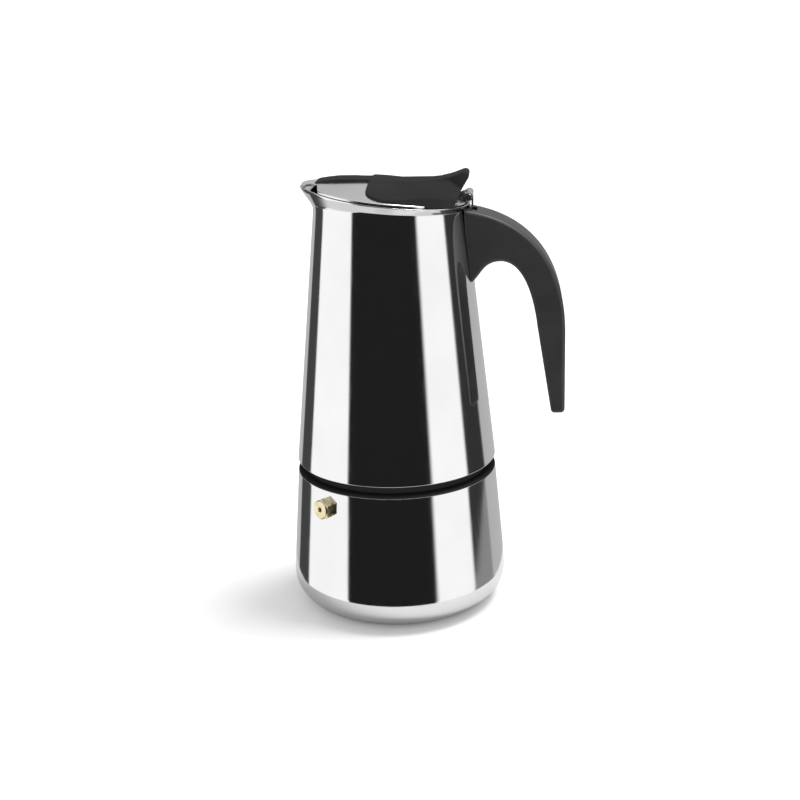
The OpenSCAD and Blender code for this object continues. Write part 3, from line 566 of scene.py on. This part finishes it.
class POT_OT_jug(bpy.types.Operator):
    """Turns the conical jug, slopes its mouth and draws out its pouring lip"""

    bl_idname = "pot.jug"
    bl_label = "Jug"

    def execute(self, context):
        s = mm_sizes()
        rim, foot, band = s["rim_height"], s["jug_foot_height"], s["shoulder_height"] + JUG_SEAT_GAP
        neck_z = rim - s["flare_height"]
        taper = (s["jug_foot_radius"] - s["jug_neck_radius"]) / (neck_z - foot)
        neck, mouth = s["jug_neck_radius"], s["rim_radius"]
        flared_z = neck_z + FLARE_SHARE * s["flare_height"]
        wall, groove = JUG_WALL, s["groove_radius"]
        bm = bmesh.new()
        draw_profile(bm, [
            (JUG_BORE, band, 0), (groove, band, 0.3), (groove, foot, 0.35),
            (s["jug_foot_radius"], foot, 0.45),
            (neck, neck_z, 0.5), (mouth, flared_z, 0.3), (mouth, rim, 0.25), (mouth - wall, rim, 0.25),
            (mouth - wall, flared_z, 0.5), (neck - wall, neck_z, 0.9),
            (s["jug_foot_radius"] - wall, foot + wall, 0.3), (groove - wall, foot + wall, 0.3),
            (groove - wall, band + wall, 0.3), (JUG_BORE, band + wall, 0),
        ], closed=True, segments=8)
        long_edges = [e for e in bm.edges if e.calc_length() > 60]
        bmesh.ops.subdivide_edges(bm, edges=long_edges, cuts=24)
        turn_profile(bm)
        slope = math.tan(s["mouth_slope"])
        start = foot + wall
        for vert in bm.verts:
            x, y, z = vert.co
            r = math.hypot(x, y)
            if z <= start:
                continue
            turn = math.degrees(math.atan2(y, x))
            down = lowered(max(0.0, rim - z), s["flare_height"], -x / r)
            drawn = (s["lip_reach"] - mouth) * lip_share(turn) * max(0.0, 1 - (down / LIP_DEPTH) ** 1.3)
            part = min(1.0, (z - start) / (rim - LIP_DEPTH - start))
            new_z = rim - down - part * (mouth + drawn) * x / r * slope
            new_r = r - (new_z - z) * taper + drawn
            vert.co = (x / r * new_r, y / r * new_r, new_z)
        shell = make_piece(bm, "jug_shell", "polished_steel")
        even_normals(shell)
        settle(shell, "jug", "polished_steel", "jug_body")
        return {"FINISHED"}


def lowered(down, flare, towards_spout):
    """Stretches a depth under the rim, so that the flare is taller on the spout's side."""
    if down >= LIP_DEPTH:
        return down
    grown = flare + FLARE_SWING * towards_spout + SPOUT_DROP * max(0.0, towards_spout) ** 2
    if down < flare:
        return down / flare * grown
    return grown + (down - flare) / (LIP_DEPTH - flare) * (LIP_DEPTH - grown)


class POT_OT_lid(bpy.types.Operator):
    """Turns the low lid, draws out its nose, and opens its vents and its hinge notch"""

    bl_idname = "pot.lid"
    bl_label = "Lid"

    def execute(self, context):
        s = mm_sizes()
        edge_top = LID_GAP + LID_EDGE
        reach = s["lid_radius"]
        bm = bmesh.new()
        crown = [(reach * k / 10, edge_top + LID_RISE * (1 - (k / 10) ** 2), 0) for k in range(10)]
        draw_profile(bm, [*crown, (reach, edge_top, 0.6), (reach, LID_GAP, 0)], segments=6)
        skirt = [e for e in bm.edges if min(v.co.x for v in e.verts) > reach - 0.01]
        bmesh.ops.subdivide_edges(bm, edges=skirt, cuts=2)
        turn_profile(bm, 288)
        for vert in bm.verts:
            x, y, z = vert.co
            grow = nose_growth(s, x, y)
            vert.co = (x * grow, y * grow, z)
        open_vents(bm)
        tilt_to_mouth(bm, s)
        open_notch(bm)
        bmesh.ops.recalc_face_normals(bm, faces=bm.faces)
        if sum(f.normal.z for f in bm.faces) < 0:
            bmesh.ops.reverse_faces(bm, faces=bm.faces)
        lid = make_piece(bm, "lid_dome", "satin_steel")
        thick = lid.modifiers.new("sheet", "SOLIDIFY")
        thick.thickness = LID_T * MM
        thick.offset = -1
        even_normals(lid)
        settle(lid, "lid", "satin_steel", "lid_plate")
        return {"FINISHED"}


def nose_growth(s, x, y):
    """How much the lid grows outwards at a place to reach over the pouring lip."""
    return 1 + (s["lid_nose"] / s["lid_radius"] - 1) * lip_share(math.degrees(math.atan2(y, x)))


def open_notch(bm):
    """Opens the notch in the lid's back edge that the hinge stands in."""

    def within(face, start, half):
        middle = face.calc_center_median()
        return middle.x > start and abs(middle.y) < half

    for point, normal in (
        ((0, NOTCH_HALF, 0), (0, 1, 0)), ((0, -NOTCH_HALF, 0), (0, -1, 0)), ((NOTCH_X, 0, 0), (1, 0, 0)),
    ):
        near = [f for f in bm.faces if within(f, NOTCH_NEAR_X, NOTCH_NEAR_HALF)]
        slice_faces(bm, near, point, normal)
    gone = [f for f in bm.faces if within(f, NOTCH_X, NOTCH_HALF)]
    bmesh.ops.delete(bm, geom=gone, context="FACES")


def open_vents(bm):
    """Opens an arched vent in the lid's lower edge on each side of the nose."""
    outline = [(across * VENT_HALF - VENT_X, LID_GAP + up * VENT_RISE) for across, up in VENT_ARCH]

    def beside(face):
        middle = face.calc_center_median()
        return abs(middle.x + VENT_X) < VENT_HALF + 2 and abs(middle.y) > VENT_START

    for (x0, z0), (x1, z1) in zip(outline, outline[1:]):
        slice_faces(bm, [f for f in bm.faces if beside(f)], (x0, 0, z0), (z0 - z1, 0, x1 - x0))
    gone = []
    for face in filter(beside, bm.faces):
        middle = face.calc_center_median()
        for (x0, z0), (x1, z1) in zip(outline, outline[1:]):
            if x0 <= middle.x < x1 and middle.z < z0 + (z1 - z0) * (middle.x - x0) / (x1 - x0):
                gone.append(face)
    bmesh.ops.delete(bm, geom=gone, context="FACES")


def tilt_to_mouth(bm, s):
    """Moves a shape drawn about the mouth's centre onto the sloping mouth."""
    place = Matrix.Translation((0, 0, s["rim_height"])) @ Matrix.Rotation(s["mouth_slope"], 4, "Y")
    bmesh.ops.transform(bm, matrix=place, verts=bm.verts)


def dome_height(s, x, y=0.0):
    """Height of the lid's outer face over a point."""
    out = min(1.0, (x * x + y * y) / s["lid_radius"] ** 2)
    return s["rim_height"] - x * math.tan(s["mouth_slope"]) + LID_GAP + LID_EDGE + LID_RISE * (1 - out)


class POT_OT_lid_grip(bpy.types.Operator):
    """Moulds the lid's long rib, its wing and the raised thumb tab as one soft-edged piece"""

    bl_idname = "pot.lid_grip"
    bl_label = "Lid grip"

    def execute(self, context):
        s = mm_sizes()
        half, r = s["rib_half"], s["wing_radius"]
        rib_z = high("lid_grip").z / MM - TAB_RISE + RIB_DIP
        low_z = rib_z - RIB_DIP
        tab = high("lid_grip").z / MM
        tip = high("lid_grip").x / MM
        front = low("lid_grip").x / MM
        peak = (front + WING_FRONT) / 2
        base = s["rim_height"] - LID_GRIP_DEPTH
        hinge_side = (HINGE_ROOM_X, dome_height(s, HINGE_ROOM_X - 1) - 1)
        bm = bmesh.new()
        extrude_outline(bm, [
            (front, base), (front, rib_z - 1.3), (front + 1.5, rib_z - 0.9), (front + 6, rib_z - 0.3),
            (peak - 2, rib_z), (peak + 4, rib_z - 0.05), (WING_FRONT, rib_z - 0.35),
            (WING_FRONT + 4.3, rib_z - 0.85), (WING_FRONT + 9, low_z - 0.1),
            (WING_FRONT + 12, low_z + 0.05), (tip - 18, low_z), (tip - 12.6, low_z + 0.16 * (tab - low_z)),
            (tip - 7.4, low_z + 0.48 * (tab - low_z)), (tip - 4.4, low_z + 0.76 * (tab - low_z)),
            (tip - 2, tab), (tip - 0.6, tab - 0.3), (tip, tab - 1.2), (tip, tab - 2.4),
            hinge_side, (HINGE_ROOM_X, base),
        ], 2 * half)
        rib = make_piece(bm, "lid_grip_moulding", "dull_plastic")
        bm = bmesh.new()
        bend = corner_points(WING_FRONT, WING_BACK, r, WING_CORNER)
        verts = [bm.verts.new((x, y, base)) for x, y in bend]
        made = bmesh.ops.extrude_face_region(bm, geom=[bm.faces.new(verts)])
        top = [v for v in made["geom"] if isinstance(v, bmesh.types.BMVert)]
        bmesh.ops.translate(bm, vec=(0, 0, low_z - base), verts=top)
        rows = [side * (half + (r - half) * k / 14) for side in (-1, 1) for k in range(14)]
        columns = [WING_FRONT + 1.5 * k for k in range(1, 30)]
        for places, normal in ((rows, (0, 1, 0)), (columns, (1, 0, 0))):
            for place in places:
                bmesh.ops.bisect_plane(
                    bm, geom=[*bm.verts, *bm.edges, *bm.faces], dist=SLICE_MERGE,
                    plane_co=Vector(normal) * place, plane_no=normal,
                )
        for vert in [v for v in bm.verts if v.co.z > base + 1]:
            out = max(0.0, abs(vert.co.y) - half) / (r + 1 - half)
            roof = max(low_z - WING_FALL * out, dome_height(s, vert.co.x, vert.co.y) + WING_T)
            bevel = WING_EDGE + WING_BEVEL * (MOUTH_R - math.hypot(vert.co.x, vert.co.y))
            vert.co.z = min(roof, s["rim_height"] - vert.co.x * math.tan(s["mouth_slope"]) + bevel)
        bmesh.ops.recalc_face_normals(bm, faces=bm.faces)
        wing = make_piece(bm, "cutter", "black_plastic")
        slant = bmesh.new()
        extrude_outline(slant, [
            hinge_side, (tip, tab - 2.4), (tip, tab + 4),
            (80, tab + 4), (80, base - 4), (26, base - 4),
        ], 80)
        hinge_room = make_piece(slant, "cutter", "pressed_steel")
        cut(wing, [hinge_room])
        join = rib.modifiers.new("join", "BOOLEAN")
        join.operation, join.solver, join.object = "UNION", "EXACT", wing
        baked(rib)
        bpy.data.objects.remove(wing)
        soften(rib, MOULD_VOXEL * MM, MOULD_SMOOTHINGS)
        cut(rib, [lid_body_cutter(s)])
        reshade(rib)
        settle(rib, "lid", "black_plastic", "lid_grip")
        return {"FINISHED"}


def corner_points(front, back, r, corner):
    """A circle about back with a straight, round-cornered front, seen from above."""
    corner_x = front + corner
    half = math.sqrt((r - corner) ** 2 - (corner_x - back) ** 2)
    meet = math.degrees(math.atan2(half, corner_x - back))
    made = []
    for i in range(73):
        a = math.radians(-meet + 2 * meet * i / 72)
        made.append((back + r * math.cos(a), r * math.sin(a)))
    for i in range(1, 9):
        a = math.radians(meet + (180 - meet) * i / 8)
        made.append((corner_x + corner * math.cos(a), half + corner * math.sin(a)))
    for i in range(8):
        a = math.radians(180 + (180 - meet) * i / 8)
        made.append((corner_x + corner * math.cos(a), corner * math.sin(a) - half))
    return made


def soften(piece, voxel, repeats):
    """Remeshes a joined solid and smooths it, so its edges become moulded roundings."""
    remesh = piece.modifiers.new("remesh", "REMESH")
    remesh.mode, remesh.voxel_size = "VOXEL", voxel
    smooth = piece.modifiers.new("smooth", "SMOOTH")
    smooth.iterations, smooth.factor = repeats, 0.5
    return baked(piece)


def lid_body_cutter(s):
    """The solid under the lid's outer face, to seat the grip on it."""
    edge_top = LID_GAP + LID_EDGE
    reach = s["lid_radius"]
    bm = bmesh.new()
    crown = [(reach * k / 12, edge_top + LID_RISE * (1 - (k / 12) ** 2), 0) for k in range(13)]
    crown[-1] = (reach + 0.15, edge_top, 0)
    draw_profile(bm, [
        *crown, (reach + 0.15, LID_GAP, 0), (reach + 8, LID_GAP, 0), (reach + 8, -20, 0), (0, -20, 0),
    ])
    turn_profile(bm, 144)
    for vert in bm.verts:
        x, y, z = vert.co
        if z > 0:
            grow = nose_growth(s, x, y)
            vert.co = (x * grow, y * grow, z)
    tilt_to_mouth(bm, s)
    return make_piece(bm, "cutter", "satin_steel")


class POT_OT_handle(bpy.types.Operator):
    """Extrudes the hooked handle grip, rounds its long edges and seats it on the jug"""

    bl_idname = "pot.handle"
    bl_label = "Handle grip"

    def execute(self, context):
        s = mm_sizes()
        reach = high("handle_grip").x / MM
        foot_z = low("handle_grip").z / MM
        top = s["rim_height"] - GRIP_DROP
        root = top - GRIP_ROOT
        taper = (s["jug_foot_radius"] - s["jug_neck_radius"]) / (
            s["rim_height"] - s["flare_height"] - s["jug_foot_height"])

        def wall_at(z):
            return s["jug_foot_radius"] - (z - s["jug_foot_height"]) * taper

        fall = top - foot_z
        wall_x = wall_at(root)
        arch_z = root + 0.297 * GRIP_ROOT
        outer = cubic([(s["jug_neck_radius"] - 0.4, top + 0.5), (0.747 * reach, top - 3),
                       (reach - 0.6, top - 0.205 * fall), (reach, top - 0.584 * fall)], 28)
        knee = cubic([(wall_x - 1.2, root), (wall_x + 3.3, root + 3), (wall_x + 3.8, arch_z),
                      (0.633 * reach, arch_z)], 12)
        hollow = cubic([(0.633 * reach, arch_z), (0.76 * reach, arch_z - 0.2),
                        (0.818 * reach, top - 0.411 * fall), (0.84 * reach, top - 0.562 * fall)], 20)
        points = [*outer, (reach, foot_z + 1.6), (reach - 0.5, foot_z + 0.5), (reach - 1.6, foot_z),
                  (reach - 5.2, foot_z), (reach - 6.2, foot_z + 1), *reversed(hollow), *list(reversed(knee))[1:],
                  (wall_x - 4, root)]
        bm = bmesh.new()
        depth = 2 * s["grip_half"]
        extrude_outline(bm, points, depth)
        bmesh.ops.bevel(
            bm, geom=outline_edges(bm, depth), offset=GRIP_BEVEL, offset_type="OFFSET", segments=6, profile=0.5,
            affect="EDGES", clamp_overlap=True, material=-1,
        )
        grip = make_piece(bm, "handle_grip_moulding", "black_plastic")
        cone_low, cone_high, seat = 80.0, 200.0, 0.15
        room, screw_top = 4.4, 12.2
        cutters = [
            cutter_cone(wall_at(cone_low) + seat, wall_at(cone_high) + seat, cone_low, cone_high),
            cutter_box((20, -room, top - 7), (38.9, room, top + 6)),
            cutter_cone(room, room, root - 1, root + screw_top, (wall_at(root + 13.4) + 7.2, 0), 48),
        ]
        cut(grip, cutters)
        reshade(grip)
        even_normals(grip)
        settle(grip, "jug", "black_plastic", "handle_grip")
        return {"FINISHED"}


FITTINGS = {
    "lower_chamber": ["boiler_collar", "valve_body", "valve_washer", "valve_nut", "valve_spring", "valve_ring"],
    "relief_pin": ["valve_pin"],
    "funnel": ["funnel_basket", "funnel_stem", "funnel_strainer"],
    "seal": ["gasket", "filter_plate"],
    "jug": ["jug_floor", "threaded_ring", "column", "column_cap", "handle_bracket", "handle_screw",
            "hinge_bracket", "hinge_pin"],
    "lid": ["hinge_leaf", "lid_screws", "lid_washers"],
}
SLOTS = {p["node"]: p["material_slot"] for p in frame["record"]["subparts"]}


def refine(node, body):
    """A merged, smooth-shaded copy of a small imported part, with its finish."""
    source = frame["nodes"][node]
    bm = bmesh.new()
    bm.from_mesh(source.data)
    bmesh.ops.remove_doubles(bm, verts=bm.verts, dist=0.000002)
    bmesh.ops.dissolve_degenerate(bm, dist=0.000001, edges=bm.edges)
    bmesh.ops.scale(bm, vec=(1 / MM,) * 3, verts=bm.verts)
    piece = make_piece(bm, node + "_part", SLOTS[node])
    even_normals(piece)
    return settle(piece, body, SLOTS[node], node)


class POT_OT_fittings(bpy.types.Operator):
    """Gives the seals, funnel, column, valve, hinge and screws their smooth faces and finishes"""

    bl_idname = "pot.fittings"
    bl_label = "Fittings"

    def execute(self, context):
        for body, nodes in FITTINGS.items():
            for node in nodes:
                refine(node, body)
        return {"FINISHED"}


# ---- Stage ----

CAMERA_PLACE = (0.052385, -0.597709, 0.28576)
CAMERA_TURN = math.radians(5)
CAMERA_YAW, CAMERA_PITCH, CAMERA_ROLL = 0.00359, 0.30773, -0.02917
LENS, SENSOR = 61.254, 36
# Key light: direction it comes from, strength, and the angle that it fills
KEY_DIRECTION, KEY_STRENGTH, KEY_ANGLE = (0.33, 0.1, 0.94), 2.1, math.radians(24)
# Floor: radius and height of the paper that is seen, and radius of the part that polished steel mirrors
FLOOR_RADIUS, FLOOR_HEIGHT, MIRRORED_RADIUS = 6.0, -0.0002, 0.078

# Bearing of the camera about the pot, in degrees from the handle
CAMERA_BEARING = -85
# Studio surroundings as bearings from the camera's side of the pot, in degrees, and their brightness
SURROUNDINGS = [
    (-180, 0.52), (-145, 0.52), (-144, 0.06), (-118, 0.06), (-116, 1.1), (-59, 1.1), (-57, 0.014),
    (37, 0.014), (41, 1.1), (85, 1.1), (88, 0.035), (118, 0.035), (122, 0.5), (180, 0.52),
]
# The same surroundings below eye level, where the side panel has ended
LOW_SURROUNDINGS = [(a, 0.28 if 85 < a < 120 else b) for a, b in SURROUNDINGS]
# Where they take over, in degrees of height, how far that edge leans for each degree of bearing,
# and the share of the round that it leans about
LOW_EDGE, LOW_LEAN, LOW_MIDDLE = (-16.9, -17.9), 0.0733, 283 / 360
# The dark panel behind the camera, as bearings of its edges
FRONT_PANEL = (-57, 37)
# A softbox high to one side, as bearing and height of its edges, in degrees
SOFTBOX_BEARING, SOFTBOX_HEIGHT, SOFTBOX_BRIGHTNESS = (38, 92), (30, 60), 4.0
# The ceiling and the table: the heights over which each takes over, in degrees, and its brightness.
# The table starts lower under the dark panel than at the sides
CEILING_EDGE, CEILING_TONE = (28, 50), 0.62
TABLE_SIDE_EDGE, TABLE_FRONT_EDGE, TABLE_TONE = (-24, -34), (-36, -48), 0.75
# Strength of the light on dull parts and of the background that the camera sees
FILL_STRENGTH, BACKDROP_STRENGTH = 0.66, 1.05
# Half the width of a patch's soft edge, as a share of the ramp
PATCH_SOFTNESS = 0.012


def world_patch(tree, value, first, last):
    """1 between two shares of a full ramp and 0 outside them, with soft ends."""
    return world_ramp(tree, value, [
        (0, 0), (first - PATCH_SOFTNESS, 0), (first + PATCH_SOFTNESS, 1),
        (last - PATCH_SOFTNESS, 1), (last + PATCH_SOFTNESS, 0), (1, 0),
    ])


def world_mix(tree, factor, first, second):
    """Blends two colours of the surroundings; the second may be a plain brightness."""
    mix = add(tree, "ShaderNodeMix", {"Factor": factor}, data_type="RGBA")
    tree.links.new(first, mix.inputs["A"])
    if isinstance(second, bpy.types.NodeSocket):
        tree.links.new(second, mix.inputs["B"])
    else:
        mix.inputs["B"].default_value = (second, second, second, 1)
    return mix.outputs["Result"]


def world_ramp(tree, value, stops):
    ramp = add(tree, "ShaderNodeValToRGB", {"Fac": value})
    elements = ramp.color_ramp.elements
    elements[0].position, elements[1].position = stops[0][0], stops[-1][0]
    elements[0].color = (*(stops[0][1],) * 3, 1)
    elements[1].color = (*(stops[-1][1],) * 3, 1)
    for place, brightness in stops[1:-1]:
        element = elements.new(place)
        element.color = (*(brightness,) * 3, 1)
    return ramp.outputs["Color"]


def studio_world(scene):
    """Pale studio with dark and bright panels that only polished parts mirror."""
    world = bpy.data.worlds.new("studio")
    scene.world = world
    world.use_nodes = True
    tree = world.node_tree
    tree.nodes.clear()
    out = add(tree, "ShaderNodeOutputWorld")
    direction = add(tree, "ShaderNodeTexCoord").outputs["Generated"]
    parts = add(tree, "ShaderNodeSeparateXYZ", {"Vector": direction}).outputs
    bearing = add(tree, "ShaderNodeMath", {0: parts["Y"], 1: parts["X"]}, operation="ARCTAN2").outputs[0]
    turned = add(tree, "ShaderNodeMath", {0: bearing, 1: math.radians(180 - CAMERA_BEARING)}).outputs[0]
    wrapped = add(tree, "ShaderNodeMath", {0: turned, 1: 2 * math.pi}, operation="FLOORED_MODULO").outputs[0]
    round_share = add(tree, "ShaderNodeMath", {0: wrapped, 1: 2 * math.pi}, operation="DIVIDE").outputs[0]
    panels = world_ramp(tree, round_share, [((a + 180) / 360, b) for a, b in SURROUNDINGS])
    low_panels = world_ramp(tree, round_share, [((a + 180) / 360, b) for a, b in LOW_SURROUNDINGS])
    height = add(tree, "ShaderNodeMath", {0: parts["Z"]}, operation="ARCSINE").outputs[0]

    lean = LOW_LEAN * 2 * math.pi
    leaned = add(tree, "ShaderNodeMath", {
        0: round_share, 1: -lean, 2: add(tree, "ShaderNodeMath", {0: height, 1: lean * LOW_MIDDLE}).outputs[0],
    }, operation="MULTIPLY_ADD").outputs[0]

    def over(start, end, measure=height):
        return add(tree, "ShaderNodeMapRange", {
            "Value": measure, "From Min": math.radians(start), "From Max": math.radians(end),
        }, interpolation_type="SMOOTHSTEP").outputs[0]

    colours = world_mix(tree, over(*LOW_EDGE, leaned), panels, low_panels)
    colours = world_mix(tree, over(*CEILING_EDGE), colours, CEILING_TONE)
    front = world_patch(tree, round_share, *((a + 180) / 360 for a in FRONT_PANEL))
    table = add(tree, "ShaderNodeMix", {
        "Factor": front, "A": over(*TABLE_SIDE_EDGE), "B": over(*TABLE_FRONT_EDGE),
    }).outputs[0]
    colours = world_mix(tree, table, colours, TABLE_TONE)
    up_share = add(tree, "ShaderNodeMapRange", {
        "Value": height, "From Min": -math.pi / 2, "From Max": math.pi / 2}).outputs[0]
    across = world_patch(tree, round_share, *((a + 180) / 360 for a in SOFTBOX_BEARING))
    upright = world_patch(tree, up_share, *((a + 90) / 180 for a in SOFTBOX_HEIGHT))
    softbox = add(tree, "ShaderNodeMath", {0: across, 1: upright}, operation="MULTIPLY").outputs[0]
    colours = world_mix(tree, softbox, colours, SOFTBOX_BRIGHTNESS)
    mirrored = add(tree, "ShaderNodeBackground", {"Color": colours, "Strength": 1.0})
    plain = add(tree, "ShaderNodeBackground", {"Color": (1, 1, 1, 1), "Strength": FILL_STRENGTH})
    seen = add(tree, "ShaderNodeBackground", {"Color": (1, 1, 1, 1), "Strength": BACKDROP_STRENGTH})
    path = add(tree, "ShaderNodeLightPath").outputs

    def choose(ray, otherwise, chosen):
        return add(tree, "ShaderNodeMixShader", {0: path[ray], 1: otherwise.outputs[0], 2: chosen.outputs[0]})

    final = choose("Is Camera Ray", choose("Is Glossy Ray", plain, mirrored), seen)
    tree.links.new(final.outputs[0], out.inputs["Surface"])


def stage_disc(name, radius, height, mirrored):
    """A round piece of floor: one that polished parts mirror, or one that only the camera sees."""
    bm = bmesh.new()
    bmesh.ops.create_circle(bm, cap_ends=True, segments=96, radius=radius / MM)
    bmesh.ops.translate(bm, vec=(0, 0, height / MM), verts=bm.verts)
    disc = make_piece(bm, name, "shaded_floor" if mirrored else "pale_floor")
    disc.visible_glossy = mirrored
    disc.visible_camera = not mirrored
    disc.visible_diffuse = not mirrored
    disc.visible_shadow = not mirrored
    return disc


def floor_paper(name, tone, glow=0.0):
    """Matt paper with a barely visible tooth."""
    material, tree, shader = finish_nodes(name)
    tooth = object_noise(tree, 700.0, detail=2.0)
    tint = blend_colours(tree, spread(tree, tooth, 0, 1), (tone,) * 3, (tone + 0.02,) * 3)
    tree.links.new(tint, shader.inputs["Base Color"])
    shader.inputs["Roughness"].default_value = 0.9
    shader.inputs["Specular IOR Level"].default_value = 0.1
    tree.links.new(tint, shader.inputs["Emission Color"])
    shader.inputs["Emission Strength"].default_value = glow
    return material


# The floor that polished parts mirror is a darker copy of the paper: painted shade in the floor's reflection
FINISHES["pale_floor"] = lambda _: floor_paper("pale_floor", 0.93, 0.14)
FINISHES["shaded_floor"] = lambda _: floor_paper("shaded_floor", 0.72)


class POT_OT_stage(bpy.types.Operator):
    """Sets up the pale floor, the soft studio light and the camera"""

    bl_idname = "pot.stage"
    bl_label = "Stage"

    def execute(self, context):
        scene = context.scene
        stage_disc("floor", FLOOR_RADIUS, FLOOR_HEIGHT, False)
        stage_disc("floor_near", MIRRORED_RADIUS, 0.0, True)
        studio_world(scene)
        sun = bpy.data.lights.new("key", "SUN")
        sun.energy, sun.angle = KEY_STRENGTH, KEY_ANGLE
        key = bpy.data.objects.new("key", sun)
        scene.collection.objects.link(key)
        key.rotation_euler = Vector(KEY_DIRECTION).to_track_quat("Z", "Y").to_euler()
        lens = bpy.data.cameras.new("camera")
        lens.sensor_width, lens.lens = SENSOR, LENS
        lens.clip_start, lens.clip_end = 0.01, 50
        camera = bpy.data.objects.new("camera", lens)
        scene.collection.objects.link(camera)
        camera.matrix_world = camera_matrix()
        scene.camera = camera
        scene.view_settings.view_transform = "Standard"
        return {"FINISHED"}


def camera_matrix():
    """The camera's place and attitude: yaw and pitch towards the pot, then roll, all turned about the pot."""
    cos_y, sin_y = math.cos(CAMERA_YAW), math.sin(CAMERA_YAW)
    cos_p, sin_p = math.cos(CAMERA_PITCH), math.sin(CAMERA_PITCH)
    ahead = Vector((sin_y * cos_p, cos_y * cos_p, -sin_p))
    right = Vector((cos_y, -sin_y, 0))
    up = right.cross(ahead)
    cos_r, sin_r = math.cos(CAMERA_ROLL), math.sin(CAMERA_ROLL)
    rolled_right = cos_r * right + sin_r * up
    rolled_up = cos_r * up - sin_r * right
    attitude = Matrix((rolled_right, rolled_up, -ahead)).transposed().to_4x4()
    return Matrix.Translation(CAMERA_PLACE) @ Matrix.Rotation(CAMERA_TURN, 4, "Z") @ attitude


class POT_PT_panel(bpy.types.Panel):
    """Lists the pot's sizes, finishes and pieces"""

    bl_idname = "POT_PT_panel"
    bl_label = "Moka Pot"
    bl_space_type = "VIEW_3D"
    bl_region_type = "UI"
    bl_category = "Moka Pot"

    def draw(self, context):
        scene = context.scene
        for group in (scene.pot_sizes, scene.pot_finishes):
            box = self.layout.box()
            for key in type(group).__annotations__:
                box.prop(group, key)
        for operator in PIECES:
            self.layout.operator(operator.bl_idname)


PIECES = (POT_OT_boiler, POT_OT_jug, POT_OT_lid, POT_OT_lid_grip, POT_OT_handle, POT_OT_fittings, POT_OT_stage)
CLASSES = (PotSizes, PotFinishes, *PIECES, POT_PT_panel)


def register():
    for cls in CLASSES:
        bpy.utils.register_class(cls)
    bpy.types.Scene.pot_sizes = bpy.props.PointerProperty(type=PotSizes)
    bpy.types.Scene.pot_finishes = bpy.props.PointerProperty(type=PotFinishes)


def unregister():
    del bpy.types.Scene.pot_finishes
    del bpy.types.Scene.pot_sizes
    for cls in reversed(CLASSES):
        bpy.utils.unregister_class(cls)


def main():
    register()
    for operator in PIECES:
        getattr(bpy.ops.pot, operator.bl_idname.split(".")[1])()
    bpy.context.view_layer.update()


if __name__ == "__main__":
    main()
